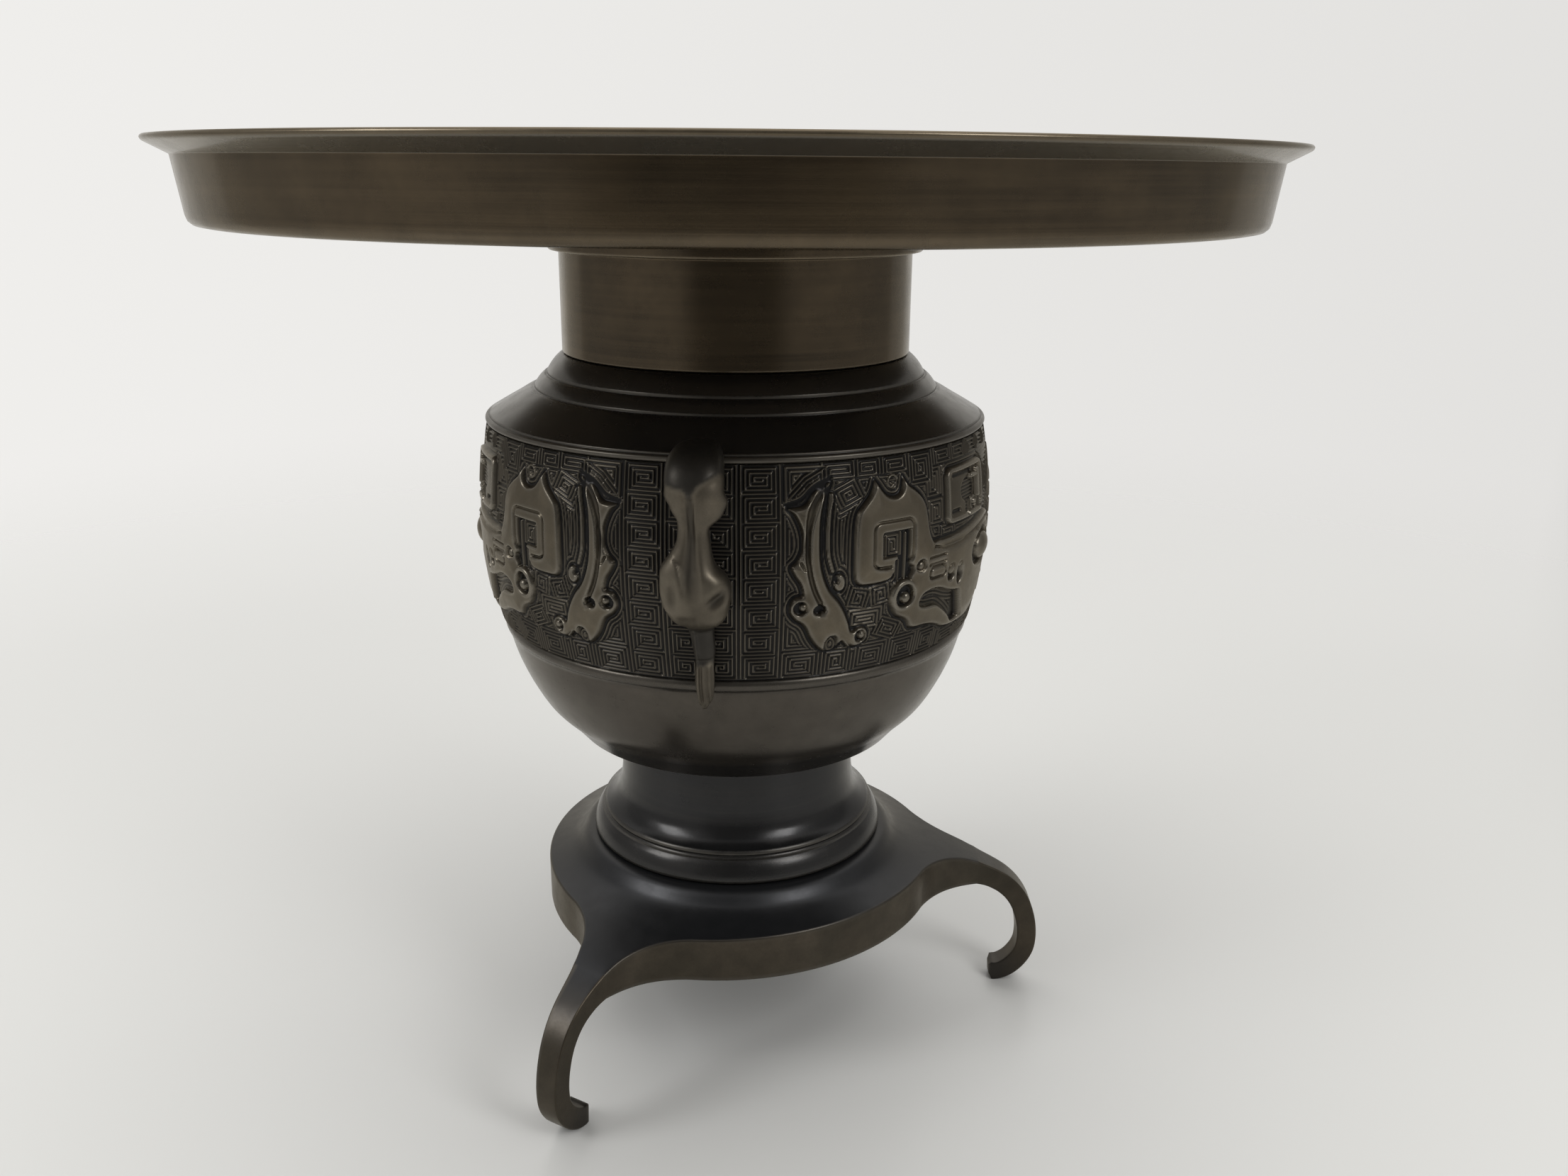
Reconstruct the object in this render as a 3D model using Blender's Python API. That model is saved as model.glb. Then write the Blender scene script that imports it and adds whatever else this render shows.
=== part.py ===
"""Usubata flower vase in bronze: a wide dish on a neck, a hollow body with a relief band, and a tripod stand.

Lengths are in metres and +Z is up. The origin is on the floor, under the middle of the vase. Turns around
the axis are in degrees from the front (-Y), positive towards +X. The figures of the relief and the sections
of the handles are written in millimetres of a drawing, which is as high as the relief band.
"""
import math

import bmesh
import bpy
import numpy as np
from mathutils.geometry import delaunay_2d_cdt

MM = 0.001

# Fits, and how far small edges are eased
GAP = 0.0003
EASE = 0.0006
SPIGOT_PLAY = 0.0006

# Tripod stand
LEG_TURNS = (-32.0, 88.0, 208.0)
EDGE_UNDER_Z = 0.038
EDGE_H = 0.014
PLATE_RISE = 0.0082
PLATE_OUT = 0.01435
STRAP_W = 0.007
STRAP_T = 0.0064
FLARE = 0.0195
FLARE_LENGTH = 0.0098
FLARE_PAST_LOBE = -0.0027
FLANK_START = 0.0017
LEG_ROOT = 0.0183
LEG_ROOT_DROP = 0.0056
LEG_OUT = 0.0185
LEG_TOP = 0.0016
RECESS_WALL = 0.0067
PLATE_T = 0.005
TOE_FLAT = 0.0005

# Foot of the body
FOOT_R = 0.0461
PLINTH_OUT = 0.00125
PLINTH_H = 0.001
CUSHION_H = 0.0072
CUSHION_IN = 0.0023
FILLET_H = 0.0009
WAIST_IN = 0.0093
COVE_H = 0.0281
FOOT_WALL = 0.004

# Bowl
LIP_R = 0.0503
LIP_H = 0.0052
LIP_OUT = 0.0047
BOWL_H = 0.0296
BEAD_IN = 0.0004
BEAD_H = 0.003
GROOVE_H = 0.0011
GROOVE_DEPTH = 0.0007
WALL = 0.0035
FLOOR_T = 0.0045

# Relief band
BELLY_R = 0.0758
BAND_FOOT_IN = 0.0038
BAND_TOP_IN = 0.0025
BAND_H = 0.0579
RELIEF = 0.0012
BOSS = 0.0012

# Shoulder
TOP_BEAD_OUT = 0.0009
TOP_BEAD_H = 0.002
SHOULDER_H = 0.0076
STEP_OUT = 0.0037
STEP_H = 0.004
COLLAR_OUT = 0.0051
COLLAR_H = 0.0057

# Dish with its neck
NECK_R = 0.0513
NECK_H = 0.0289
NECK_WALL = 0.0038
MOUTH_LIP = 0.0043
SPIGOT_WALL = 0.0022
SPIGOT_H = 0.008
LEDGE_T = 0.003
BOSS_RING_OUT = 0.0031
BOSS_RING_H = 0.0077
DISH_R = 0.1468
DISH_LEAN = 0.002
DISH_H = 0.0169
DISH_CORNER = 0.0025
DISH_WALL = 0.0026
RIM_OUT = 0.0062
RIM_RISE = 0.0031
RIM_EDGE = 0.0015
BORE_ROUND = 0.003

# Handles
HANDLE_TURN = -7.0
HANDLE_SEAT_REACH = 0.0025

# Numbers of facets
DISH_FACETS = 56
NECK_FACETS = 40
BODY_FACETS = 44
FOOT_FACETS = 36
INNER_FACETS = 20
BAND_ROWS = 4
PLATE_FACETS = 36
SMOOTH_ANGLE = math.radians(32.0)

# Heights that follow from the sizes above
PLATE_TOP_Z = EDGE_UNDER_Z + EDGE_H + PLATE_RISE
BODY_Z = PLATE_TOP_Z + GAP
CUSHION_Z = BODY_Z + PLINTH_H
RIDGE_Z = CUSHION_Z + CUSHION_H
LIP_Z = RIDGE_Z + FILLET_H + COVE_H
BOWL_Z = LIP_Z + LIP_H
BEAD_Z = BOWL_Z + BOWL_H
GROOVE_Z = BEAD_Z + BEAD_H
BAND_Z = GROOVE_Z + GROOVE_H
BAND_TOP_Z = BAND_Z + BAND_H
SHOULDER_Z = BAND_TOP_Z + TOP_BEAD_H
STEP_Z = SHOULDER_Z + SHOULDER_H
COLLAR_Z = STEP_Z + STEP_H
MOUTH_Z = COLLAR_Z + COLLAR_H
NECK_Z = MOUTH_Z + GAP
BOSS_RING_Z = NECK_Z + NECK_H
DISH_Z = BOSS_RING_Z + BOSS_RING_H
DISH_TOP_Z = DISH_Z + DISH_H
RIM_Z = DISH_TOP_Z + RIM_RISE

# Radii that follow
PLINTH_R = FOOT_R + PLINTH_OUT
LOBE_R = PLINTH_R + PLATE_OUT
ROOT_R = LOBE_R + LEG_ROOT
CUSHION_TOP_R = FOOT_R - CUSHION_IN
WAIST_R = FOOT_R - WAIST_IN
BOWL_LOW_R = LIP_R + LIP_OUT
BAND_FOOT_R = BELLY_R - BAND_FOOT_IN
BAND_TOP_R = BELLY_R - BAND_TOP_IN
BEAD_R = BAND_FOOT_R - BEAD_IN
TOP_BEAD_R = BAND_TOP_R + TOP_BEAD_OUT
COLLAR_R = NECK_R + COLLAR_OUT
STEP_R = COLLAR_R + STEP_OUT
BOSS_RING_R = NECK_R + BOSS_RING_OUT
MOUTH_R = NECK_R - MOUTH_LIP
SPIGOT_R = MOUTH_R - SPIGOT_PLAY
BORE_R = SPIGOT_R - SPIGOT_WALL
RIM_R = DISH_R + DISH_LEAN + RIM_OUT

# Width and height of the drawing of the relief, in its own millimetres: a quarter of the band, laid out flat
DRAWING = (120.6, 57.9)


def place(turn, radius, z, across=0.0):
    """The point at a turn and a distance from the axis, moved sideways by across."""
    a = math.radians(turn)
    return (
        radius * math.sin(a) + across * math.cos(a),
        -radius * math.cos(a) + across * math.sin(a),
        z,
    )


def quarter_round(low, high, steps):
    """Points of a convex quarter ellipse, from its widest point low (radius, z) up to its top point high."""
    turns = np.linspace(0.0, math.pi / 2, steps + 1)
    r = high[0] + (low[0] - high[0]) * np.cos(turns)
    z = low[1] + (high[1] - low[1]) * np.sin(turns)
    return list(zip(r, z))


def between(low, high, shares):
    """A drawn curve between two points, each share being its part of the way out and of the way up."""
    return [(low[0] + (high[0] - low[0]) * a, low[1] + (high[1] - low[1]) * b) for a, b in shares]


def band_radius(z):
    """The ground of the relief band: it swells from its foot to the belly and draws in under the bead."""
    share = (z - BAND_Z) / BAND_H
    swell = math.sin(math.pi * min(max(share, 0.0), 1.0)) ** 0.85
    line = BAND_FOOT_R + (BAND_TOP_R - BAND_FOOT_R) * share
    middle = (BAND_FOOT_R + BAND_TOP_R) / 2
    return line + (BELLY_R - middle) * swell


# Meshes


def ring(bm, point, facets):
    """A ring of vertices at point (radius, z), or one vertex if the point is on the axis."""
    if point[0] == 0.0:
        return [bm.verts.new((0.0, 0.0, point[1]))]
    return [bm.verts.new(place(HANDLE_TURN + 360.0 * k / facets, *point)) for k in range(facets)]


def bridge(bm, low, high):
    """Faces between two rings, whose numbers of vertices may differ."""
    n, m = len(low), len(high)
    if n == m:
        for k in range(n):
            bm.faces.new((low[k], low[(k + 1) % n], high[(k + 1) % n], high[k]))
        return
    i = j = 0
    while i < n or j < m:
        if m == 1 or (n > 1 and j == m) or (n > 1 and i < n and (i + 1) / n <= (j + 1) / m):
            bm.faces.new((low[i % n], low[(i + 1) % n], high[j % m]))
            i += 1
            j = m if m == 1 and i == n else j
        else:
            bm.faces.new((low[i % n], high[(j + 1) % m], high[j % m]))
            j += 1
            i = n if n == 1 and j == m else i


def turn_profile(bm, profile, closed=False):
    """Turn a profile of (radius, z, facets) around the axis. A closed one ends where it starts."""
    rings = [ring(bm, (r, z), facets) for r, z, facets in profile]
    for low, high in zip(rings, rings[1:]):
        bridge(bm, low, high)
    if closed:
        bridge(bm, rings[-1], rings[0])


def with_facets(points, facets):
    """The same points, each with its number of facets."""
    return [(r, z, facets) for r, z in points]


def finish_object(name, bm, material, smooth=SMOOTH_ANGLE):
    """Weld the mesh, turn its faces outwards and link it as an object."""
    bmesh.ops.remove_doubles(bm, verts=bm.verts, dist=0.01 * MM)
    bmesh.ops.recalc_face_normals(bm, faces=bm.faces)
    mesh = bpy.data.meshes.new(name)
    bm.to_mesh(mesh)
    bm.free()
    mesh.shade_smooth()
    mesh.set_sharp_from_angle(angle=smooth)
    mesh.materials.append(material)
    obj = bpy.data.objects.new(name, mesh)
    bpy.context.scene.collection.objects.link(obj)
    return obj


def bronze(name, colour, roughness):
    """A patinated bronze finish."""
    material = bpy.data.materials.new(name)
    material.use_nodes = True
    shader = material.node_tree.nodes["Principled BSDF"]
    shader.inputs["Base Color"].default_value = (*colour, 1.0)
    shader.inputs["Roughness"].default_value = roughness
    shader.inputs["Metallic"].default_value = 0.9
    return material


# The dish


def make_dish(material):
    """The dish, its boss ring, its neck and the spigot that sits in the body's mouth, turned in one piece."""
    wall_top = DISH_R + DISH_LEAN
    neck_in = NECK_R - NECK_WALL
    floor_z = DISH_Z + DISH_WALL
    inner_r = DISH_R - DISH_WALL
    corner = quarter_round((DISH_R, DISH_Z + DISH_CORNER), (DISH_R - DISH_CORNER, DISH_Z), 3)[::-1]
    neck = [
        (SPIGOT_R, NECK_Z - SPIGOT_H),
        (SPIGOT_R, NECK_Z),
        (NECK_R, NECK_Z),
        (NECK_R, BOSS_RING_Z),
        (BOSS_RING_R, BOSS_RING_Z),
        (BOSS_RING_R, DISH_Z),
    ]
    wall = corner + [
        (wall_top, DISH_TOP_Z),
        (RIM_R - EASE / 2, RIM_Z),
        (RIM_R, RIM_Z + RIM_EDGE / 2),
        (RIM_R - EASE, RIM_Z + RIM_EDGE),
        (wall_top - DISH_WALL + EASE, DISH_TOP_Z + RIM_EDGE),
        (inner_r + EASE, floor_z + DISH_CORNER),
        (inner_r - DISH_CORNER, floor_z),
    ]
    bore = [
        (neck_in + BORE_ROUND, floor_z),
        (neck_in, floor_z - BORE_ROUND),
        (neck_in, NECK_Z + LEDGE_T),
        (BORE_R, NECK_Z + LEDGE_T - EASE),
        (BORE_R, NECK_Z - SPIGOT_H),
    ]
    bm = bmesh.new()
    profile = with_facets(neck, NECK_FACETS) + with_facets(wall, DISH_FACETS) + with_facets(bore, NECK_FACETS)
    turn_profile(bm, profile, closed=True)
    return finish_object("dish", bm, material)


# The body


BOWL_SHARES = ((0.0, 0.0), (0.31, 0.17), (0.60, 0.43), (0.82, 0.70), (0.985, 1.0))


def foot_profile():
    """Outer side of the foot and the bowl, from the plinth up to the edge of the relief band."""
    cushion = quarter_round((FOOT_R, CUSHION_Z), (CUSHION_TOP_R, RIDGE_Z), 2)
    cove_shares = ((0.04, 0.02), (0.42, 0.12), (0.80, 0.27), (1.0, 0.44), (0.87, 0.60), (0.75, 0.74))
    cove = between((CUSHION_TOP_R, RIDGE_Z + FILLET_H), (WAIST_R, LIP_Z), cove_shares)
    under_lip = between((WAIST_R, RIDGE_Z), (LIP_R, LIP_Z), ((0.35, 0.86),))
    lip = [(LIP_R - EASE, LIP_Z), (LIP_R + LIP_OUT / 2, LIP_Z + LIP_H / 2)]
    bowl = between((BOWL_LOW_R, BOWL_Z), (BEAD_R - EASE, BEAD_Z), BOWL_SHARES)
    groove_r = BEAD_R - GROOVE_DEPTH
    bead = [(BEAD_R, BEAD_Z + BEAD_H / 2), (groove_r, GROOVE_Z), (groove_r, BAND_Z - EASE / 2)]
    foot = [(PLINTH_R, BODY_Z), (PLINTH_R, CUSHION_Z - EASE / 4)] + cushion + cove + under_lip
    return with_facets(foot, FOOT_FACETS) + with_facets(lip + bowl + bead, BODY_FACETS)


def shoulder_profile():
    """Outer side of the shoulder, from the bead above the relief band up to the mouth."""
    bead = [(TOP_BEAD_R, BAND_TOP_Z + EASE), (TOP_BEAD_R - EASE, SHOULDER_Z)]
    shares = ((0.34, 0.36), (0.6, 0.62), (0.83, 0.86), (1.0, 1.0))
    shoulder = between((TOP_BEAD_R - EASE, SHOULDER_Z), (STEP_R, STEP_Z), shares)
    step = quarter_round((STEP_R - EASE / 2, STEP_Z), (COLLAR_R, COLLAR_Z), 2)[1:]
    collar = quarter_round((COLLAR_R - EASE / 2, COLLAR_Z), (NECK_R, MOUTH_Z), 2)[1:]
    return with_facets(bead + shoulder + step + collar, BODY_FACETS)


def inner_profile():
    """Inner side of the body, from the mouth down to the middle of its floor."""
    heights = [BAND_Z + BAND_H * share for share in (0.9, 0.55, 0.15)]
    sides = [(band_radius(z) - WALL, z) for z in heights]
    bowl_shares = ((0.82, 0.70), (0.45, 0.27), (0.0, 0.0))
    bowl = between((BOWL_LOW_R - WALL, BOWL_Z + WALL / 2), (BEAD_R - WALL, BEAD_Z), bowl_shares)
    mouth = [(MOUTH_R, MOUTH_Z), (MOUTH_R, COLLAR_Z - WALL), (STEP_R - WALL, STEP_Z - WALL)]
    floor = [(LIP_R - 2 * WALL, LIP_Z + EASE), (0.0, LIP_Z)]
    return with_facets(mouth + sides + bowl + floor, INNER_FACETS)


def recess_profile():
    """The hollow under the foot, from its middle down to the plinth."""
    narrow = WAIST_R - FOOT_WALL
    ceiling = LIP_Z - FLOOR_T
    middle = RIDGE_Z + COVE_H / 3
    points = [(0.0, ceiling), (narrow, ceiling), (narrow, middle), (PLINTH_R - FOOT_WALL, BODY_Z)]
    return with_facets(points, INNER_FACETS)


# The figures of the relief. Each is a closed outline on the drawing, measured from its corner under the
# handle: the first number runs along the band, the second up.


def disc(x, y, rx, ry, sides):
    """An oval."""
    turns = [2 * math.pi * k / sides for k in range(sides)]
    return [(x + rx * math.cos(t), y + ry * math.sin(t)) for t in turns]


def stroke(points):
    """A band of changing width along a path of (x, y, half width)."""
    p = np.array(points)
    along = np.gradient(p[:, :2], axis=0)
    along /= np.linalg.norm(along, axis=1)[:, None]
    side = np.stack([-along[:, 1], along[:, 0]], axis=1) * p[:, 2:3]
    return [tuple(corner) for corner in np.concatenate([p[:, :2] + side, (p[:, :2] - side)[::-1]])]


def rounded_box(x0, y0, x1, y1, corner):
    """A box with cut corners."""
    c = corner
    return [
        (x0 + c, y0), (x1 - c, y0), (x1, y0 + c), (x1, y1 - c),
        (x1 - c, y1), (x0 + c, y1), (x0, y1 - c), (x0, y0 + c),
    ]


def dragon():
    """The dragon beside the handle: its body, its fin, its head, and the curls of its ear and its snout."""
    body = stroke(
        (
            (34.8, 53.2, 0.2), (31.3, 50.0, 1.5), (29.5, 45.0, 2.2), (29.1, 38.0, 2.4), (29.6, 31.0, 2.8),
            (31.6, 25.0, 3.7), (34.2, 19.5, 5.0), (36.8, 14.5, 5.0), (39.8, 10.2, 3.6), (42.5, 8.2, 1.3),
        )
    )
    fin = [
        (22.0, 46.0), (24.8, 43.5), (26.6, 40.5), (26.6, 34.5), (25.0, 32.0), (22.5, 31.0),
        (24.8, 27.5), (27.0, 22.5), (31.0, 24.0), (29.0, 35.0), (29.0, 47.0), (28.5, 49.0), (26.0, 46.3),
    ]
    head = [
        (27.5, 23.0), (26.8, 15.8), (28.5, 11.5), (30.5, 8.5), (34.0, 6.5), (35.2, 7.6),
        (33.0, 9.0), (32.8, 10.8), (34.8, 12.4), (37.0, 13.5), (35.0, 20.0), (31.0, 25.0),
    ]
    ear = disc(26.0, 19.5, 3.2, 3.2, 9)
    snout = disc(44.2, 10.0, 2.6, 2.6, 9)
    comma = disc(36.6, 26.4, 1.7, 2.3, 7)
    return [body, fin, head, ear, snout, comma]


def horn():
    """The mask's horn, a thick hook with two tips, open to its square spiral."""
    return [
        (47.3, 53.0), (46.2, 50.0), (42.3, 47.0), (40.6, 43.0), (40.4, 28.5), (41.4, 25.6), (43.6, 24.5),
        (51.0, 24.5), (53.4, 26.0), (54.0, 30.0), (48.0, 30.2), (46.4, 31.6), (46.2, 39.4), (48.0, 41.0),
        (58.0, 41.0), (60.0, 39.4), (60.0, 27.0), (76.0, 24.0), (85.0, 30.4), (73.0, 30.8), (69.0, 33.0),
        (67.0, 38.0), (65.5, 43.5), (62.0, 47.2), (58.6, 49.6), (56.6, 53.0), (55.6, 49.0), (53.4, 47.6),
        (51.4, 48.2), (50.0, 50.4),
    ]


def mask():
    """The mask's cheek and jaw, its nose and its forehead, which run on over the field's edge."""
    face = [
        (60.0, 30.0), (58.0, 25.4), (53.8, 23.2), (52.4, 18.5), (55.0, 13.6), (59.4, 12.4), (61.4, 9.0),
        (72.0, 8.2), (80.0, 5.2), (94.0, 4.8), (101.0, 8.0), (104.0, 14.0), (106.0, 22.0), (107.0, 30.0),
        (103.0, 34.0), (90.0, 31.0), (76.0, 30.4),
    ]
    edge = DRAWING[0]
    nose = [
        (edge, 54.0), (115.0, 52.0), (108.0, 47.0), (106.0, 41.0), (111.0, 38.0), (113.5, 32.0),
        (112.0, 22.0), (108.0, 16.0), (107.0, 10.0), (110.0, 6.0), (115.0, 5.0), (edge, 7.0),
    ]
    brow = rounded_box(74.0, 36.2, 98.0, 52.0, 2.6)
    return [face, nose, brow]


def hollows():
    """Places inside the figures that stay at the ground."""
    cheek = disc(66.2, 17.4, 3.4, 1.9, 8)
    mouth = [
        (76.0, 24.6), (79.5, 24.0), (78.8, 20.6), (84.4, 18.6),
        (86.0, 11.5), (88.0, 7.6), (82.0, 7.6), (74.0, 18.6),
    ]
    brow = [
        (83.0, 38.4), (85.6, 38.4), (85.6, 41.6), (90.6, 41.6),
        (90.6, 47.2), (80.8, 47.2), (80.8, 41.6), (83.0, 41.6),
    ]
    nostril = disc(114.6, 14.0, 2.2, 2.6, 7)
    return [cheek, mouth, brow, nostril]


def bosses():
    """Round raised places on the figures: eyes, and the middles of curls."""
    return [
        disc(32.6, 17.2, 1.4, 1.4, 7),
        disc(57.6, 19.4, 2.7, 3.1, 8),
        disc(63.6, 27.4, 1.8, 2.0, 7),
        disc(98.0, 25.8, 4.4, 3.4, 10),
    ]


def grown_level(owners, first_hollow, first_boss):
    """How high a small face of the drawing is: 0 at the ground, 1 on a figure, 2 on a boss."""
    if any(k >= first_boss for k in owners):
        return 2
    if any(first_hollow <= k < first_boss for k in owners):
        return 0
    return 1 if any(k > 0 for k in owners) else 0


def field_faces():
    """The drawing as triangles: their corners (x, y), and for each the three corners and its level."""
    columns = BODY_FACETS // 4
    width, height = DRAWING
    xs = np.linspace(0.0, width, columns + 1)
    ys = np.linspace(0.0, height, BAND_ROWS + 1)
    border = [(x, 0.0) for x in xs] + [(width, y) for y in ys[1:]]
    border += [(x, height) for x in xs[-2::-1]] + [(0.0, y) for y in ys[-2:0:-1]]
    raised = dragon() + [horn()] + mask()
    shapes = [border] + raised + hollows() + bosses()
    first_hollow = 1 + len(raised)
    first_boss = first_hollow + len(hollows())
    corners = []
    faces = []
    for shape in shapes:
        area = sum(a[0] * b[1] - b[0] * a[1] for a, b in zip(shape, shape[1:] + shape[:1]))
        ordered = shape if area > 0 else shape[::-1]
        faces.append(list(range(len(corners), len(corners) + len(shape))))
        corners += ordered
    corners += [(x, y) for x in xs[1:-1] for y in ys[1:-1]]
    found = delaunay_2d_cdt(corners, [], faces, 0, 0.02, True)
    levels = [grown_level(owners, first_hollow, first_boss) for owners in found[5]]
    return [tuple(c) for c in found[0]], list(zip(found[2], levels))


def add_band(bm):
    """The relief band: the drawing laid on the body four times, mirrored at the handles and at the masks."""
    corners, triangles = field_faces()
    heights = (0.0, RELIEF, RELIEF + BOSS)
    sides_of = {}
    for triangle, level in triangles:
        for a, b in zip(triangle, triangle[1:] + triangle[:1]):
            sides_of.setdefault(frozenset((a, b)), []).append(level)
    for start in (HANDLE_TURN, HANDLE_TURN + 180.0):
        for side in (-1.0, 1.0):
            made = {}

            def vertex(corner, level):
                if (corner, level) not in made:
                    x, y = corners[corner]
                    z = BAND_Z + BAND_H * y / DRAWING[1]
                    radius = band_radius(z) + heights[level]
                    made[corner, level] = bm.verts.new(place(start + side * 90.0 * x / DRAWING[0], radius, z))
                return made[corner, level]

            for triangle, level in triangles:
                bm.faces.new([vertex(c, level) for c in triangle])
            for edge, levels in sides_of.items():
                if len(levels) == 2 and levels[0] != levels[1]:
                    a, b = edge
                    low, high = sorted(levels)
                    bm.faces.new((vertex(a, low), vertex(b, low), vertex(b, high), vertex(a, high)))


def make_body(material):
    """The vessel: foot, bowl, relief band and shoulder outside, one hollow inside and one under the foot."""
    bm = bmesh.new()
    turn_profile(bm, recess_profile() + foot_profile() + with_facets([(BAND_FOOT_R, BAND_Z)], BODY_FACETS))
    add_band(bm)
    top = with_facets([(BAND_TOP_R, BAND_TOP_Z)], BODY_FACETS)
    turn_profile(bm, top + shoulder_profile() + inner_profile())
    return finish_object("body", bm, material)


# The handles

HANDLE_STATIONS = (
    # height above the band's foot, stand-off from the belly, half thickness, half width
    (-7.8, -2.0, 0.5, 0.5),
    (-4.6, -1.2, 1.3, 2.3),
    (0.0, -0.4, 1.7, 2.7),
    (6.6, 0.6, 1.4, 2.2),
    (9.6, 1.4, 2.0, 2.9),
    (17.0, 2.4, 2.2, 3.1),
    (20.6, 5.0, 4.4, 6.2),
    (24.4, 7.4, 5.8, 8.8),
    (28.6, 8.9, 5.8, 9.1),
    (33.0, 9.8, 4.9, 7.6),
    (38.0, 10.3, 3.9, 4.8),
    (44.6, 10.6, 3.5, 3.8),
    (50.0, 11.1, 4.4, 4.8),
    (54.8, 10.6, 6.0, 6.9),
    (59.0, 8.0, 6.6, 7.2),
    (61.2, 4.2, 5.4, 6.6),
    (61.6, -0.8, 4.2, 5.6),
)
HANDLE_SECTION = (
    # share of the half width, share of the half thickness, from the front's groove round to the back
    (0.0, 0.82),
    (0.42, 1.0),
    (0.9, 0.6),
    (1.0, -0.1),
    (0.72, -0.8),
    (0.0, -1.0),
)


def outer_radius(z):
    """The body's radius at a height beside the band."""
    points = [p[:2] for p in foot_profile()][-12:]
    points += [(band_radius(BAND_Z + BAND_H * s), BAND_Z + BAND_H * s) for s in np.linspace(0.0, 1.0, 9)]
    points += [p[:2] for p in shoulder_profile()]
    radii, heights = zip(*points)
    return float(np.interp(z, heights, radii))


def seat_radius(z):
    """How near the axis a handle may come at a height: clear of the body and of the beads beside it."""
    reach = HANDLE_SEAT_REACH
    return max(outer_radius(z + d) for d in (-reach, -reach / 2, 0.0, reach / 2, reach)) + GAP


def make_handle(name, turn, material):
    """A long beast's head in profile, its sections carried along a path from the leaf below to the head."""
    stations = np.array(HANDLE_STATIONS) * BAND_H / DRAWING[1]
    path = np.stack([BELLY_R + stations[:, 1], BAND_Z + stations[:, 0]], axis=1)
    along = np.gradient(path, axis=0)
    along /= np.linalg.norm(along, axis=1)[:, None]
    section = HANDLE_SECTION + tuple((-a, b) for a, b in HANDLE_SECTION[-2:0:-1])
    bm = bmesh.new()
    rings = []
    for point, direction, (_, _, thick, wide) in zip(path, along, stations):
        out = np.array([direction[1], -direction[0]])
        loop = []
        for a, b in section:
            radius, height = point + out * b * thick
            across = a * wide
            nearest = math.sqrt(seat_radius(height) ** 2 - across**2)
            loop.append(bm.verts.new(place(turn, max(radius, nearest), height, across)))
        rings.append(loop)
    for low, high in zip(rings, rings[1:]):
        bridge(bm, low, high)
    bm.faces.new(rings[0])
    bm.faces.new(rings[-1])
    return finish_object(name, bm, material, math.radians(50.0))


# The stand


def half_width(distance):
    """Half the stand's width at a distance from the axis along a leg: a strap that flares into the plate."""
    start = LOBE_R + FLARE_PAST_LOBE
    return STRAP_W / 2 + FLARE * np.exp(-(distance - start) / FLARE_LENGTH)


def plate_top(radius):
    """Height of the stand's upper face: level under the foot, then falling outwards in a hollow curve."""
    edge_z = EDGE_UNDER_Z + EDGE_H
    plate_shares = ((0.0, 0.0), (0.25, 0.39), (0.47, 0.60), (0.74, 0.82), (1.0, 1.0))
    leg_shares = ((0.25, 0.20), (0.46, 0.37), (0.74, 0.64), (1.0, 1.0))
    curve = between((PLINTH_R, PLATE_TOP_Z), (LOBE_R, edge_z), plate_shares)
    curve += between((LOBE_R, edge_z), (ROOT_R, edge_z - LEG_ROOT_DROP), leg_shares)
    radii, heights = zip(*curve)
    return float(np.interp(radius, radii, heights))


def stand_outline():
    """The plate's outline seen from above, once round, with each leg cut off square at its root."""
    start = LOBE_R - FLANK_START
    distances = start + (ROOT_R - start) * np.linspace(0.0, 1.0, 7) ** 1.5
    widths = half_width(distances)
    flank_turn = math.degrees(math.atan2(widths[0], distances[0]))
    flank_r = math.hypot(widths[0], distances[0])
    lobe_half = 60.0 - flank_turn
    outline = []
    roots = []
    for leg in LEG_TURNS:
        for d, w in zip(distances, widths):
            outline.append(place(leg, d, 0.0, -w)[:2])
        roots.append(len(outline) - 1)
        for d, w in zip(distances[::-1], widths[::-1]):
            outline.append(place(leg, d, 0.0, w)[:2])
        for share in np.linspace(-1.0, 1.0, 9)[1:-1]:
            r = LOBE_R + (flank_r - LOBE_R) * share**2
            outline.append(place(leg + 60.0 + lobe_half * share, r, 0.0)[:2])
    return outline, roots


def circle_points(radius):
    """Points of a circle around the axis, for the plate."""
    return [place(360.0 * k / PLATE_FACETS, radius, 0.0)[:2] for k in range(PLATE_FACETS)]


def filled(outline, circles):
    """Triangles that fill an outline and keep the edges of some circles, with the circles that hold each."""
    corners = list(outline)
    faces = [list(range(len(outline)))]
    for radius in circles:
        faces.append(list(range(len(corners), len(corners) + PLATE_FACETS)))
        corners += circle_points(radius)
    found = delaunay_2d_cdt(corners, [], faces, 0, 0.02 * MM, True)
    inside = [k for k, owners in enumerate(found[5]) if 0 in owners]
    return [tuple(c) for c in found[0]], [found[2][k] for k in inside], [found[5][k] for k in inside]


def leg_path():
    """The leg's middle line as (distance, z), from the plate's root over the knee to the hooked toe."""
    top = EDGE_UNDER_Z + LEG_TOP
    low = STRAP_T / 2
    shares = (
        (0.287, 0.948), (0.535, 0.846), (0.746, 0.712), (0.897, 0.559), (0.995, 0.398),
        (1.01, 0.29), (0.98, 0.2), (0.92, 0.12), (0.79, 0.052), (0.62, 0.01), (0.5, 0.0), (0.37, 0.0),
    )
    return between((ROOT_R, low), (ROOT_R + LEG_OUT, top), shares)


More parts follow.
